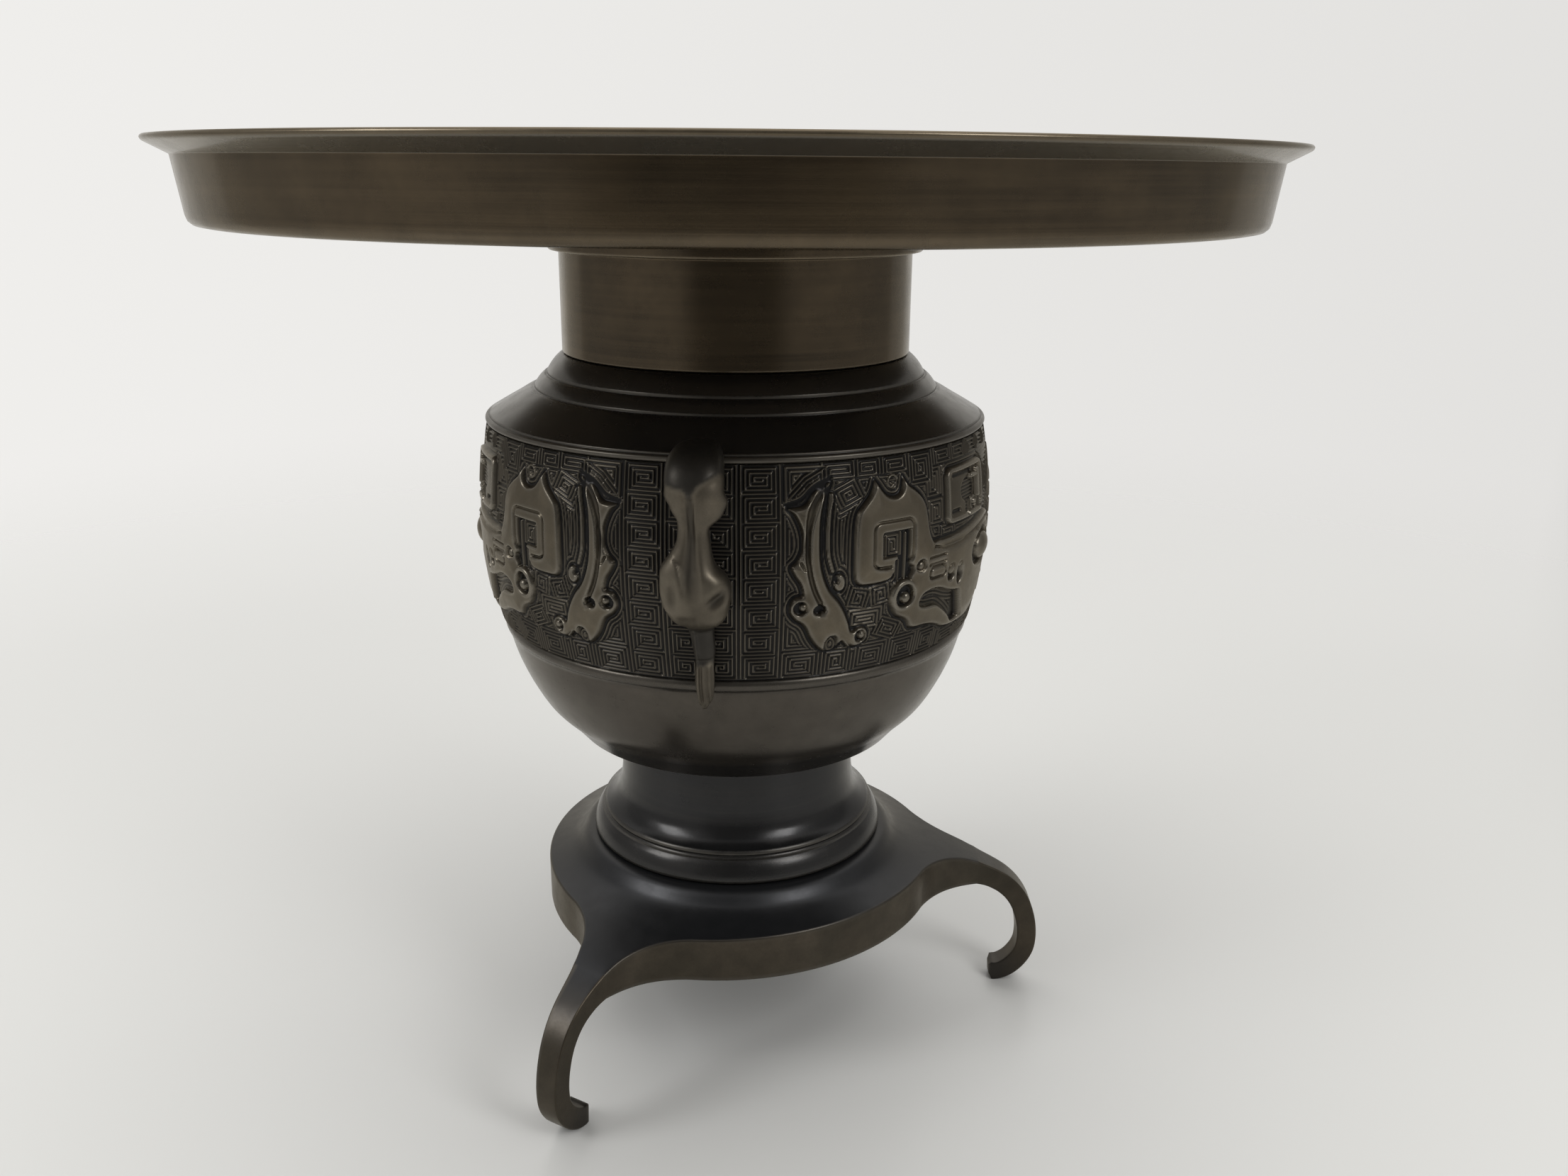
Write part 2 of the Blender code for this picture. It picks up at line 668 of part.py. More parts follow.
def make_stand(material):
    """The three-lobed plate with a recess under it, and its three strap legs."""
    bm = bmesh.new()
    outline, roots = stand_outline()
    recess_r = LOBE_R - RECESS_WALL
    inner = [PLINTH_R + PLATE_OUT * share for share in (0.0, 0.25, 0.6)]
    corners, faces, _ = filled(outline, inner)
    tops = [bm.verts.new((x, y, plate_top(math.hypot(x, y)))) for x, y in corners]
    for face in faces:
        bm.faces.new([tops[k] for k in face])
    corners, faces, owners = filled(outline, (recess_r,))
    rim = [bm.verts.new((x, y, EDGE_UNDER_Z)) for x, y in corners]
    roof = {}
    for k, (x, y) in enumerate(corners):
        if math.hypot(x, y) < recess_r + 0.01 * MM:
            roof[k] = bm.verts.new((x, y, plate_top(math.hypot(x, y)) - PLATE_T))
    for face, owner in zip(faces, owners):
        verts = [roof[k] if 1 in owner else rim[k] for k in face]
        bm.faces.new(verts)
    circle = sorted(roof, key=lambda k: math.atan2(corners[k][1], corners[k][0]))
    for a, b in zip(circle, circle[1:] + circle[:1]):
        bm.faces.new((rim[a], rim[b], roof[b], roof[a]))
    count = len(outline)
    for k in range(count):
        if k not in roots:
            n = (k + 1) % count
            ends = (outline[k], outline[n])
            low = [bm.verts.new((*p, EDGE_UNDER_Z)) for p in ends]
            high = [bm.verts.new((*p, plate_top(math.hypot(*p)))) for p in ends]
            bm.faces.new((low[0], low[1], high[1], high[0]))
    add_legs(bm)
    return finish_object("tripod_stand", bm, material, math.radians(40.0))


def add_legs(bm):
    """The legs: a flat strap of even thickness along the middle line, its toe ground flat below."""
    width = half_width(ROOT_R)
    path = np.array(leg_path())
    along = np.gradient(path, axis=0)
    along /= np.linalg.norm(along, axis=1)[:, None]
    out = np.stack([-along[:, 1], along[:, 0]], axis=1)
    travel = ROOT_R + np.concatenate([[0.0], np.cumsum(np.linalg.norm(np.diff(path, axis=0), axis=1))])
    for leg in LEG_TURNS:
        top_z = plate_top(math.hypot(ROOT_R, width))
        first = [
            place(leg, ROOT_R, top_z, -width),
            place(leg, ROOT_R, top_z, width),
            place(leg, ROOT_R, EDGE_UNDER_Z, width),
            place(leg, ROOT_R, EDGE_UNDER_Z, -width),
        ]
        rings = [[bm.verts.new(p) for p in first]]
        for point, normal, reach in zip(path, out, travel):
            half = half_width(reach)
            upper = point + normal * STRAP_T / 2
            lower = point - normal * STRAP_T / 2
            height = 0.0 if upper[1] < TOE_FLAT else upper[1]
            corners = (
                place(leg, upper[0], height, -half),
                place(leg, upper[0], height, half),
                place(leg, lower[0], lower[1], half),
                place(leg, lower[0], lower[1], -half),
            )
            rings.append([bm.verts.new(p) for p in corners])
        for low, high in zip(rings, rings[1:]):
            bridge(bm, low, high)
        bm.faces.new(rings[-1])


def main():
    for obj in list(bpy.data.objects):
        bpy.data.objects.remove(obj, do_unlink=True)
    brown = bronze("brown_bronze", (0.090, 0.062, 0.038), 0.42)
    black = bronze("black_bronze", (0.030, 0.027, 0.025), 0.35)
    dark = bronze("dark_bronze", (0.060, 0.050, 0.038), 0.45)
    make_dish(brown)
    make_body(black)
    make_handle("handle_front", HANDLE_TURN, dark)
    make_handle("handle_back", HANDLE_TURN + 180.0, dark)
    make_stand(black)


main()
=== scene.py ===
"""Usubata flower vase in patinated bronze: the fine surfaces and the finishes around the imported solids.

Shapes are worked out in millimetres and written to the meshes in metres. Heights are above the floor, and
turns around the axis are from the front (-Y), positive towards +X.
"""

import math

import bpy
import numpy as np
from mathutils import Matrix, Vector


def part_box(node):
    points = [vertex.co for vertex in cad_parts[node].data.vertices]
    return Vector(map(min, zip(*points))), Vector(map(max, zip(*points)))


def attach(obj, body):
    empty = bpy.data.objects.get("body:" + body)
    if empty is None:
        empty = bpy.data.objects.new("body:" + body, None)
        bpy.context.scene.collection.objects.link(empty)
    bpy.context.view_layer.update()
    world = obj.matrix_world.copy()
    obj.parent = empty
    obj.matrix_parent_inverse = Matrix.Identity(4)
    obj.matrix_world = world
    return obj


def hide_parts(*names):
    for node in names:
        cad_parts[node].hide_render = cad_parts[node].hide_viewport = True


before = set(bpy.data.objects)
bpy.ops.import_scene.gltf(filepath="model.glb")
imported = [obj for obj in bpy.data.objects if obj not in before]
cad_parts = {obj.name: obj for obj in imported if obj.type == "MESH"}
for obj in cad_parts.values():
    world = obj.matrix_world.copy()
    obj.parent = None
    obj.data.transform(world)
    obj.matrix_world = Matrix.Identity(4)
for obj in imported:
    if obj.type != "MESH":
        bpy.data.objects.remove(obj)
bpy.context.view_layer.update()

MM = 0.001

# Camera, fitted to the photograph
IMAGE_W = 2212
FOCAL_PX = 1888.4175
SENSOR_W = 36.0
CAMERA_PLACE = (0.0, -0.4028148, 0.2652904)
CAMERA_PITCH = math.radians(17.37818)
CAMERA_YAW = math.radians(2.11213)
CAMERA_ROLL = math.radians(0.50596)

# Heights of the turned forms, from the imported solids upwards
BODY_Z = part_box("body")[0].z / MM
MOUTH_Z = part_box("body")[1].z / MM
PLATE_TOP_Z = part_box("tripod_stand")[1].z / MM
SPIGOT_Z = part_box("dish")[0].z / MM
CUSHION_Z = BODY_Z + 1.0
RIDGE_Z = CUSHION_Z + 6.3
COVE_Z = RIDGE_Z + 0.9
LIP_Z = COVE_Z + 29.0
BOWL_Z = LIP_Z + 5.2
BEAD_Z = BOWL_Z + 29.6
GROOVE_Z = BEAD_Z + 3.0
BAND_Z = GROOVE_Z + 1.1
BAND_H = 57.9
BAND_TOP_Z = BAND_Z + BAND_H
SHOULDER_Z = BAND_TOP_Z + 2.0
STEP_Z = SHOULDER_Z + 7.6
COLLAR_Z = STEP_Z + 4.0
NECK_Z = SPIGOT_Z + 8.0
BOSS_RING_Z = NECK_Z + 28.9
DISH_Z = BOSS_RING_Z + 7.7
DISH_TOP_Z = DISH_Z + 16.9
RIM_Z = DISH_TOP_Z + 3.1
RIM_EDGE = 1.5

# Radii of the turned forms
PLINTH_R = 47.35
FOOT_R = 46.1
CUSHION_TOP_R = 43.8
WAIST_R = 36.8
LIP_R = 50.3
BOWL_LOW_R = 55.0
BEAD_R = 71.6
BAND_FOOT_R = 72.0
BELLY_R = 75.8
BAND_TOP_R = 73.3
TOP_BEAD_R = 74.2
STEP_R = 60.1
COLLAR_R = 56.4
NECK_R = 51.3
NECK_IN_R = 47.5
MOUTH_R = 47.0
SPIGOT_R = 46.4
BORE_R = 44.2
BOSS_RING_R = 54.4
DISH_R = 146.8
RIM_R = 155.0
WALL = 3.5
FLOOR_T = 4.5
DISH_WALL = 2.6

# The stand
LEG_TURNS = (-32.0, 88.0, 208.0)
EDGE_UNDER_Z = 38.0
EDGE_H = 14.0
LOBE_R = 61.7
ROOT_R = 80.0
ROOT_DROP = 5.6
LEG_OUT = 18.5
LEG_TOP_Z = 39.6
STRAP_W = 7.0
STRAP_T = 6.4
FLARE_W = 19.5
FLARE_START = 59.0
FLARE_FADE = 9.8
RECESS_R = 55.0
PLATE_T = 5.0

HANDLE_TURN = -7.0


# Lines


def length(vectors):
    """How long each vector of an array is."""
    return np.linalg.norm(vectors, axis=1)


def unit(vectors):
    """The vectors of an array, each drawn to a length of 1."""
    return vectors / length(vectors)[:, None]


def crosswise(along):
    """Vectors of length 1 at right angles to vectors (x, y), on their right."""
    return unit(along)[:, ::-1] * (1.0, -1.0)


def travel(line):
    """How far along a line each of its points lies."""
    return np.concatenate([[0.0], np.cumsum(length(np.diff(line, axis=0)))])


def spline(points, count):
    """A smooth line through points: cubic pieces whose slopes are the differences along the chords."""
    p = np.asarray(points, float)
    t = travel(p)
    slope = np.gradient(p, t, axis=0)
    s = np.linspace(0.0, t[-1], count)
    k = np.clip(np.searchsorted(t, s, side="right") - 1, 0, len(t) - 2)
    span = (t[k + 1] - t[k])[:, None]
    u = (s - t[k])[:, None] / span
    start = (2 * u**3 - 3 * u**2 + 1) * p[k] + (u**3 - 2 * u**2 + u) * span * slope[k]
    return start + (3 * u**2 - 2 * u**3) * p[k + 1] + (u**3 - u**2) * span * slope[k + 1]


def loop(points, steps=5):
    """A closed smooth line through points: cubics, with half the neighbours' chord as slope at a point."""
    p = np.array(points, float)
    before, after, later = np.roll(p, 1, 0), np.roll(p, -1, 0), np.roll(p, -2, 0)
    t = np.linspace(0.0, 1.0, steps, endpoint=False)[None, :, None]
    curve = 2 * p[:, None] + (after - before)[:, None] * t
    curve = curve + (2 * before - 5 * p + 4 * after - later)[:, None] * t**2
    curve = curve + (3 * p - before - 3 * after + later)[:, None] * t**3
    return (curve / 2).reshape(-1, 2)


def between(low, high, shares):
    """Points between two points, each share being its part of the way out and of the way up."""
    return [(low[0] + (high[0] - low[0]) * a, low[1] + (high[1] - low[1]) * b) for a, b in shares]


def quarter_round(low, high, count):
    """A convex quarter ellipse, from its widest point low (radius, height) up to its top point high."""
    t = np.linspace(0.0, math.pi / 2, count)
    r = high[0] + (low[0] - high[0]) * np.cos(t)
    return np.stack([r, low[1] + (high[1] - low[1]) * np.sin(t)], axis=1)


def flattened(line, share=0.35):
    """A line drawn towards its chord, the straight line between its ends, keeping a share of its bulge."""
    t = travel(line)[:, None]
    chord = line[0] + (line[-1] - line[0]) * t / t[-1]
    return chord + (line - chord) * share


def eased(corners, closed=False, steps=5):
    """A line through corners (radius, height, ease), each rounded by a parabola between its two sides.

    The parabola starts and ends at the ease's length from the corner, at most 0.4 of a side, and each long
    side gets a point just past it, which keeps the side flat when the surface is shaded.
    """
    p = np.array([c[:2] for c in corners], float)
    count = len(p)
    line = [] if closed else [p[0]]
    t = np.linspace(0.0, 1.0, steps + 1)[:, None]
    for k in range(count) if closed else range(1, count - 1):
        sides = [p[k - 1] - p[k], p[(k + 1) % count] - p[k]]
        lengths = [np.linalg.norm(side) for side in sides]
        cuts = [min(corners[k][2], 0.4 * long) for long in lengths]
        a, b = (p[k] + side / long * cut for side, long, cut in zip(sides, lengths, cuts))
        past = [
            [p[k] + side / long * cut * 1.5] if long > 3.2 * cut else []
            for side, long, cut in zip(sides, lengths, cuts)
        ]
        line += past[0] + list((1 - t) ** 2 * a + 2 * t * (1 - t) * p[k] + t**2 * b) + past[1]
    return np.array(line if closed else line + [p[-1]])


def refined(line, longest):
    """A closed line with its long pieces cut into equal parts no longer than a length."""
    out = []
    for a, b in zip(line, np.roll(line, -1, 0)):
        parts = max(1, math.ceil(np.linalg.norm(b - a) / longest))
        out += [a + (b - a) * k / parts for k in range(parts)]
    return np.array(out)


def convexity(line, closed):
    """How sharply a profile stands out at each point: its turn outwards for each millimetre, halved."""
    around = line if closed else np.concatenate([line, [[0.0, line[-1][1]]]])
    nxt = np.roll(around, -1, 0)
    area = np.sum(around[:, 0] * nxt[:, 1] - nxt[:, 0] * around[:, 1])
    before = line - np.roll(line, 1, 0)
    after = np.roll(line, -1, 0) - line
    span = (length(before) + length(after)) / 2 + 1e-9
    crossed = before[:, 0] * after[:, 1] - before[:, 1] * after[:, 0]
    turn = np.arctan2(crossed, np.sum(before * after, axis=1))
    if not closed:
        turn[[0, -1]] = 0.0
    return np.clip(np.sign(area) * turn / span / 2, 0.0, 1.0)


# Meshes


def placed(turn, distance, across, z):
    """Points at a distance out along a turn in radians, a distance across it to the right, and a height."""
    x = distance * np.sin(turn) + across * np.cos(turn)
    y = across * np.sin(turn) - distance * np.cos(turn)
    return np.stack(np.broadcast_arrays(x, y, z), axis=-1)


def grid_faces(rows, columns, wrap_rows=False, wrap_columns=False):
    """Quads of a grid of vertices, numbered row by row, that may close on itself either way."""
    r = np.arange(rows if wrap_rows else rows - 1)[:, None]
    c = np.arange(columns if wrap_columns else columns - 1)[None, :]
    r2, c2 = (r + 1) % rows, (c + 1) % columns
    corners = (r * columns + c, r * columns + c2, r2 * columns + c2, r2 * columns + c)
    return np.stack([np.broadcast_to(k, (r.size, c.size)) for k in corners], axis=-1).reshape(-1, 4)


def volume(points, quads, triangles):
    """Six times the volume that quads and triangles enclose, positive if they face outwards."""
    faces = [quads[:, [0, 1, 2]], quads[:, [0, 2, 3]], triangles]
    a, b, c = (points[np.concatenate([f[:, k] for f in faces])] for k in range(3))
    return np.sum(a * np.cross(b, c))


def add_object(name, data):
    """An object of the scene that carries a mesh, a light or a camera."""
    obj = bpy.data.objects.new(name, data)
    bpy.context.scene.collection.objects.link(obj)
    return obj


def add_piece(name, points, quads, values, triangles=None, polygons=(), sharp=None):
    """A piece from arrays of points (mm), quads, triangles and a few larger polygons, facing outwards.

    values are further numbers for each point, by name. sharp marks the points of a border that stays crisp.
    """
    triangles = np.zeros((0, 3), int) if triangles is None else triangles
    fans = [np.stack([np.full(len(p) - 2, p[0]), p[1:-1], p[2:]], axis=1) for p in polygons]
    if volume(points, quads, np.concatenate([triangles] + fans)) < 0:
        quads, triangles = quads[:, ::-1], triangles[:, ::-1]
        polygons = [p[::-1] for p in polygons]
    sizes = [4] * len(quads) + [3] * len(triangles) + [len(p) for p in polygons]
    corners = np.concatenate([quads.ravel(), triangles.ravel(), *polygons]).astype(np.int32)
    mesh = bpy.data.meshes.new(name)
    mesh.vertices.add(len(points))
    mesh.vertices.foreach_set("co", (points * MM).astype(np.float32).ravel())
    mesh.loops.add(len(corners))
    mesh.loops.foreach_set("vertex_index", corners)
    mesh.polygons.add(len(sizes))
    mesh.polygons.foreach_set("loop_start", np.cumsum([0] + sizes[:-1]).astype(np.int32))
    mesh.update(calc_edges=True)
    mesh.validate()
    mesh.shade_smooth()
    if sharp is not None:
        edges = np.zeros(len(mesh.edges) * 2, np.int32)
        mesh.edges.foreach_get("vertices", edges)
        mesh.edges.foreach_set("use_edge_sharp", sharp[edges.reshape(-1, 2)].all(axis=1))
    for label, numbers in values.items():
        layer = mesh.attributes.new(label, "FLOAT", "POINT")
        layer.data.foreach_set("value", np.asarray(numbers, np.float32).ravel())
    return add_object(name, mesh)


def turned(name, parts, columns, closed=False):
    """A profile turned around the axis, from its parts: pieces of line (radius, height), each with its tone.

    An open profile begins and ends on the axis, where its first and last points are poles. The tone goes
    from 0 for the black patina to 1 for the brown one.
    """
    line = np.concatenate([np.asarray(p, float) for p, _ in parts])
    tone = np.concatenate([np.broadcast_to(t, len(p)) for p, t in parts])
    turn = np.linspace(0.0, 2 * math.pi, columns, endpoint=False)
    rings = slice(None) if closed else slice(1, -1)
    points = placed(turn, line[rings, :1], 0.0, line[rings, 1:])
    quads = grid_faces(len(points), columns, wrap_rows=closed, wrap_columns=True)
    points = points.reshape(-1, 3)
    # Convex corners are rubbed: worn metal with a painted highlight.
    rub_and_sheen = np.repeat(convexity(line, closed)[rings], columns)
    tones = np.repeat(tone[rings], columns)
    triangles = None
    if not closed:
        count = len(points)
        first = np.arange(columns)
        second = (first + 1) % columns
        last = count - columns
        low_fan = np.stack([np.full(columns, count), second, first], axis=1)
        high_fan = np.stack([np.full(columns, count + 1), last + first, last + second], axis=1)
        triangles = np.concatenate([low_fan, high_fan])
        points = np.concatenate([points, [[0.0, 0.0, z] for z in line[[0, -1], 1]]])
        rub_and_sheen = np.append(rub_and_sheen, (0.0, 0.0))
        tones = np.append(tones, tone[[0, -1]])
    return add_piece(name, points, quads, {"rub_and_sheen": rub_and_sheen, "tone": tones}, triangles)


# The dish


def make_dish():
    """The dish with its boss ring, neck and spigot: one closed profile with eased corners, turned."""
    wall_top = DISH_R + 2.0
    floor_z = DISH_Z + DISH_WALL
    corners = [
        (BORE_R, SPIGOT_Z, 0.5),
        (SPIGOT_R, SPIGOT_Z, 0.5),
        (SPIGOT_R, NECK_Z, 0.2),
        (NECK_R, NECK_Z, 0.45),
        (NECK_R + 0.05, BOSS_RING_Z, 0.3),
        (BOSS_RING_R, BOSS_RING_Z + 0.1, 0.7),
        (BOSS_RING_R, DISH_Z, 0.9),
        (DISH_R - 0.3, DISH_Z, 2.6),
        (wall_top - 0.05, DISH_TOP_Z, 0.15),
        (RIM_R - 0.4, RIM_Z, 0.6),
        (RIM_R, RIM_Z + RIM_EDGE / 2, 0.4),
        (RIM_R - 0.6, RIM_Z + RIM_EDGE, 0.6),
        (wall_top - DISH_WALL + 0.6, DISH_TOP_Z + RIM_EDGE, 2.0),
        (DISH_R - DISH_WALL, floor_z, 3.2),
        (NECK_IN_R, floor_z, 3.4),
        (NECK_IN_R, NECK_Z + 3.0, 0.4),
        (BORE_R, NECK_Z + 2.6, 0.6),
    ]
    line = refined(eased(corners, closed=True, steps=3), 9.0)
    flare = (line[:, 0] > wall_top) & (line[:, 1] > DISH_TOP_Z) & (line[:, 1] < RIM_Z + 0.3)
    return turned("dish", [(line, np.where(flare, 0.25, 1.0))], 210, closed=True)


# The turned parts of the body

BOWL_SHARES = ((0.0, 0.0), (0.31, 0.17), (0.60, 0.43), (0.82, 0.70), (0.985, 1.0))


def band_radius(z):
    """The ground of the band: a straight line from foot to top, and a swelling, a sine's 0.85th power."""
    share = np.clip((z - BAND_Z) / BAND_H, 0.0, 1.0)
    line = BAND_FOOT_R + (BAND_TOP_R - BAND_FOOT_R) * share
    return line + (BELLY_R - (BAND_FOOT_R + BAND_TOP_R) / 2) * np.sin(math.pi * share) ** 0.85


def bead(radius, bulge_z, half_height):
    """A bead's outer side: a flat arch of a circle's root, 1 mm deep, around the height of its bulge."""
    t = np.linspace(-1.0, 1.0, 9)
    return np.stack([radius - 0.9 + 1.0 * np.sqrt(1.0 - 0.8 * t**2), bulge_z + half_height * t], axis=1)


def outer_foot():
    """The outer side of foot and bowl as pieces of line, each with its tone: splines and eased corners."""
    shares = ((1.16, 0.0), (1.25, 0.07), (1.22, 0.2), (1.08, 0.4), (0.84, 0.62), (0.5, 0.82), (0.14, 0.96))
    cushion = spline(between((CUSHION_TOP_R, CUSHION_Z - 0.7), (FOOT_R, RIDGE_Z), shares), 16)
    ridge = [(CUSHION_TOP_R - 0.9, RIDGE_Z - 0.1), (CUSHION_TOP_R - 0.8, RIDGE_Z + 0.5)]
    shares = ((0.04, 0.015), (0.42, 0.075), (0.73, 0.17), (0.88, 0.31), (0.96, 0.52), (0.995, 0.76))
    cove = between((CUSHION_TOP_R, COVE_Z), (WAIST_R, LIP_Z), shares)
    under_lip = between((WAIST_R, RIDGE_Z), (LIP_R, LIP_Z), ((0.03, 0.94), (0.34, 0.985), (0.72, 0.997)))
    lip = [(LIP_R - 0.5, LIP_Z, 0.3), (LIP_R + 0.4, LIP_Z + 0.2, 0.5), (BOWL_LOW_R, BOWL_Z, 0.5)]
    bowl = spline(between((BOWL_LOW_R, BOWL_Z), (BEAD_R - 0.4, BEAD_Z), BOWL_SHARES), 24)
    lip_line = eased([(*under_lip[-1], 0.0)] + lip + [(*bowl[2], 0.0)])[1:-1]
    groove_r = BEAD_R - 0.75
    return [
        (cushion, 0.0),
        (ridge, 0.15),
        (spline(cove + under_lip, 32), 0.0),
        (lip_line, 0.25),
        (bowl[2:], 1.0),
        (bead(BEAD_R, BEAD_Z + 1.5, 1.45), 0.8),
        ([(groove_r, GROOVE_Z + 0.1), (groove_r, BAND_Z - 0.45), (BAND_FOOT_R, BAND_Z)], 0.1),
    ]


def make_foot_and_bowl():
    """The body's lower part: recess below, foot and bowl outside, bowl inside, turned around the axis."""
    ceiling = LIP_Z - FLOOR_T
    recess = [
        (0.0, ceiling, 0.0),
        (WAIST_R - 4.0, ceiling, 2.0),
        (WAIST_R - 4.0, RIDGE_Z + 9.4, 6.0),
        (PLINTH_R - 4.0, BODY_Z, 0.4),
        (FOOT_R - 1.1, BODY_Z, 0.2),
        (FOOT_R - 1.1, CUSHION_Z - 0.85, 0.1),
        (FOOT_R + 0.2, CUSHION_Z - 0.8, 0.0),
    ]
    low = (BOWL_LOW_R - WALL, BOWL_Z + WALL / 2)
    inner = between(low, (BEAD_R - WALL, BEAD_Z), ((1.0, 1.0), (0.82, 0.70), (0.45, 0.27), (0.0, 0.0)))
    rim = [(BAND_FOOT_R, BAND_Z, 0.0), (BAND_FOOT_R - WALL, BAND_Z, 0.0), (*inner[0], 2.0)]
    floor = [(*inner[-1], 3.0), (LIP_R - 2 * WALL, LIP_Z + 0.6, 2.5), (0.0, LIP_Z, 0.0)]
    inside = eased(rim + [(*p, 3.0) for p in inner[1:-1]] + floor, steps=3)
    parts = [(eased(recess, steps=2)[:-1], 0.0)] + outer_foot() + [(inside[1:], 0.5)]
    return turned("foot_and_bowl", parts, 180)


def make_shoulder():
    """The body's upper part: bead, shoulder, two rounded steps and the mouth, turned around the axis."""
    shares = ((0.02, 0.03), (0.34, 0.36), (0.6, 0.62), (0.83, 0.86), (0.985, 0.99))
    shoulder = spline(between((TOP_BEAD_R - 0.6, SHOULDER_Z), (STEP_R, STEP_Z), shares), 18)
    step = quarter_round((STEP_R - 0.3, STEP_Z + 0.15), (COLLAR_R + 0.1, COLLAR_Z - 0.05), 9)
    collar = quarter_round((COLLAR_R - 0.3, COLLAR_Z + 0.1), (NECK_R, MOUTH_Z), 10)
    inside = [
        (NECK_R, MOUTH_Z, 0.0),
        (MOUTH_R, MOUTH_Z, 0.5),
        (MOUTH_R, COLLAR_Z - WALL, 2.0),
        (STEP_R - WALL, STEP_Z - WALL, 3.0),
        (BAND_TOP_R - WALL, BAND_TOP_Z, 0.0),
    ]
    parts = [
        ([(BAND_TOP_R, BAND_TOP_Z)], 0.3),
        (bead(TOP_BEAD_R, BAND_TOP_Z + 1.1, 0.85), 1.0),
        ([(TOP_BEAD_R - 1.3, SHOULDER_Z + 0.02)], 0.0),
        (shoulder, 0.45),
        ([(STEP_R - 0.55, STEP_Z - 0.05)], 0.0),
        (flattened(step), 0.4),
        ([(COLLAR_R - 0.5, COLLAR_Z - 0.1)], 0.0),
        (flattened(collar), 0.4),
        (eased(inside, steps=3)[1:], 0.3),
    ]
    return turned("shoulder", parts, 180, closed=True)


# The relief band. Its drawing is a quarter of the band laid out flat, in millimetres, from the middle of a
# handle (x = 0) to the middle of a mask, and from the band's foot (y = 0) to its top.

DRAWING_W = 120.6
COLUMNS = 420
ROWS = 224
STEPS_TO_A_LINE = 4
LINE_X = STEPS_TO_A_LINE * DRAWING_W / COLUMNS
LINE_Y = STEPS_TO_A_LINE * BAND_H / ROWS
LINE_H = 0.6
FIGURE_H = 1.35
FIGURE_EDGE = 1.2
FIGURE_GAP = 0.25

DRAGON = (
    (34.6, 53.0), (31.5, 52.0), (29.2, 50.4), (27.7, 48.4), (26.1, 47.4), (22.4, 46.8), (23.9, 44.8),
    (25.3, 41.9), (26.0, 38.9), (25.9, 35.9), (24.8, 33.4), (23.0, 31.4), (24.0, 28.9), (25.6, 26.4),
    (26.1, 23.9), (24.1, 23.2), (22.9, 21.2), (22.9, 18.9), (24.4, 16.7), (26.5, 15.2), (27.6, 13.7),
    (28.8, 11.2), (30.6, 8.7), (32.6, 7.1), (35.2, 6.8), (37.0, 7.7), (38.6, 9.0), (40.2, 7.9), (42.2, 7.0),
    (44.5, 7.3), (46.4, 9.0), (46.6, 11.2), (45.2, 12.9), (43.2, 13.0), (41.4, 12.4), (40.5, 14.9),
    (38.9, 18.4), (37.0, 21.4), (34.6, 24.2), (33.0, 27.4), (31.9, 31.4), (31.5, 36.4), (31.7, 42.4),
    (32.3, 46.4), (33.4, 49.9),
)
HORN = (
    (47.4, 52.6), (46.6, 50.7), (45.4, 48.6), (43.3, 46.4), (41.8, 44.7), (41.0, 42.4), (40.6, 38.4),
    (40.5, 33.4), (40.6, 28.4), (41.1, 25.9), (42.6, 24.5), (45.6, 24.2), (50.9, 24.4), (53.1, 25.4),
    (53.9, 27.4), (53.9, 29.4), (56.5, 29.2), (60.0, 27.0), (64.0, 24.0), (72.4, 24.0), (80.0, 27.0),
    (72.4, 31.0), (70.5, 31.9), (68.7, 33.4), (67.4, 35.4), (66.6, 37.9), (66.1, 40.9), (65.4, 43.9),
    (63.9, 46.4), (61.6, 48.4), (59.0, 50.2), (57.2, 52.6), (56.6, 51.2), (56.1, 49.4), (55.3, 48.2),
    (53.6, 47.7), (51.6, 48.2), (50.1, 49.6), (48.9, 51.2),
)
FACE = (
    (60.0, 31.0), (59.9, 26.6), (57.6, 24.0), (55.0, 23.2), (53.4, 21.2), (53.0, 18.4), (53.6, 15.9),
    (55.6, 13.7), (58.3, 12.4), (59.8, 11.2), (61.0, 9.4), (63.0, 8.6), (67.0, 8.4), (71.0, 7.8),
    (74.4, 6.7), (78.0, 5.3), (84.0, 4.6), (94.0, 4.8), (101.0, 8.0), (104.0, 14.0), (106.0, 22.0),
    (107.0, 30.0), (104.0, 35.4), (96.0, 35.0), (88.0, 34.0), (80.0, 33.4), (74.0, 33.2), (69.0, 33.2),
)
POOL = (
    (63.0, 16.6), (64.2, 18.9), (68.0, 19.9), (72.0, 19.5), (76.0, 18.0), (79.5, 17.0), (83.2, 16.0),
    (85.2, 11.9), (87.0, 7.2), (84.5, 6.1), (81.7, 6.4), (78.0, 9.4), (74.6, 11.8), (71.0, 13.8),
    (67.0, 14.1), (64.0, 14.9),
)
NOSE = (
    (126.0, 52.0), (118.0, 50.0), (112.5, 46.0), (112.0, 41.0), (115.5, 37.0), (116.5, 30.0), (116.0, 22.0),
    (112.0, 17.0), (110.5, 11.0), (113.0, 6.5), (118.0, 5.4), (126.0, 6.4),
)


def smooth_step(t):
    """0 below 0, 1 above 1, and an even S curve between."""
    t = np.clip(t, 0.0, 1.0)
    return t * t * (3.0 - 2.0 * t)


def wave(t):
    """A wave between 0 and 1 that has its tops at whole numbers."""
    return 0.5 + 0.5 * np.cos(2 * math.pi * t)


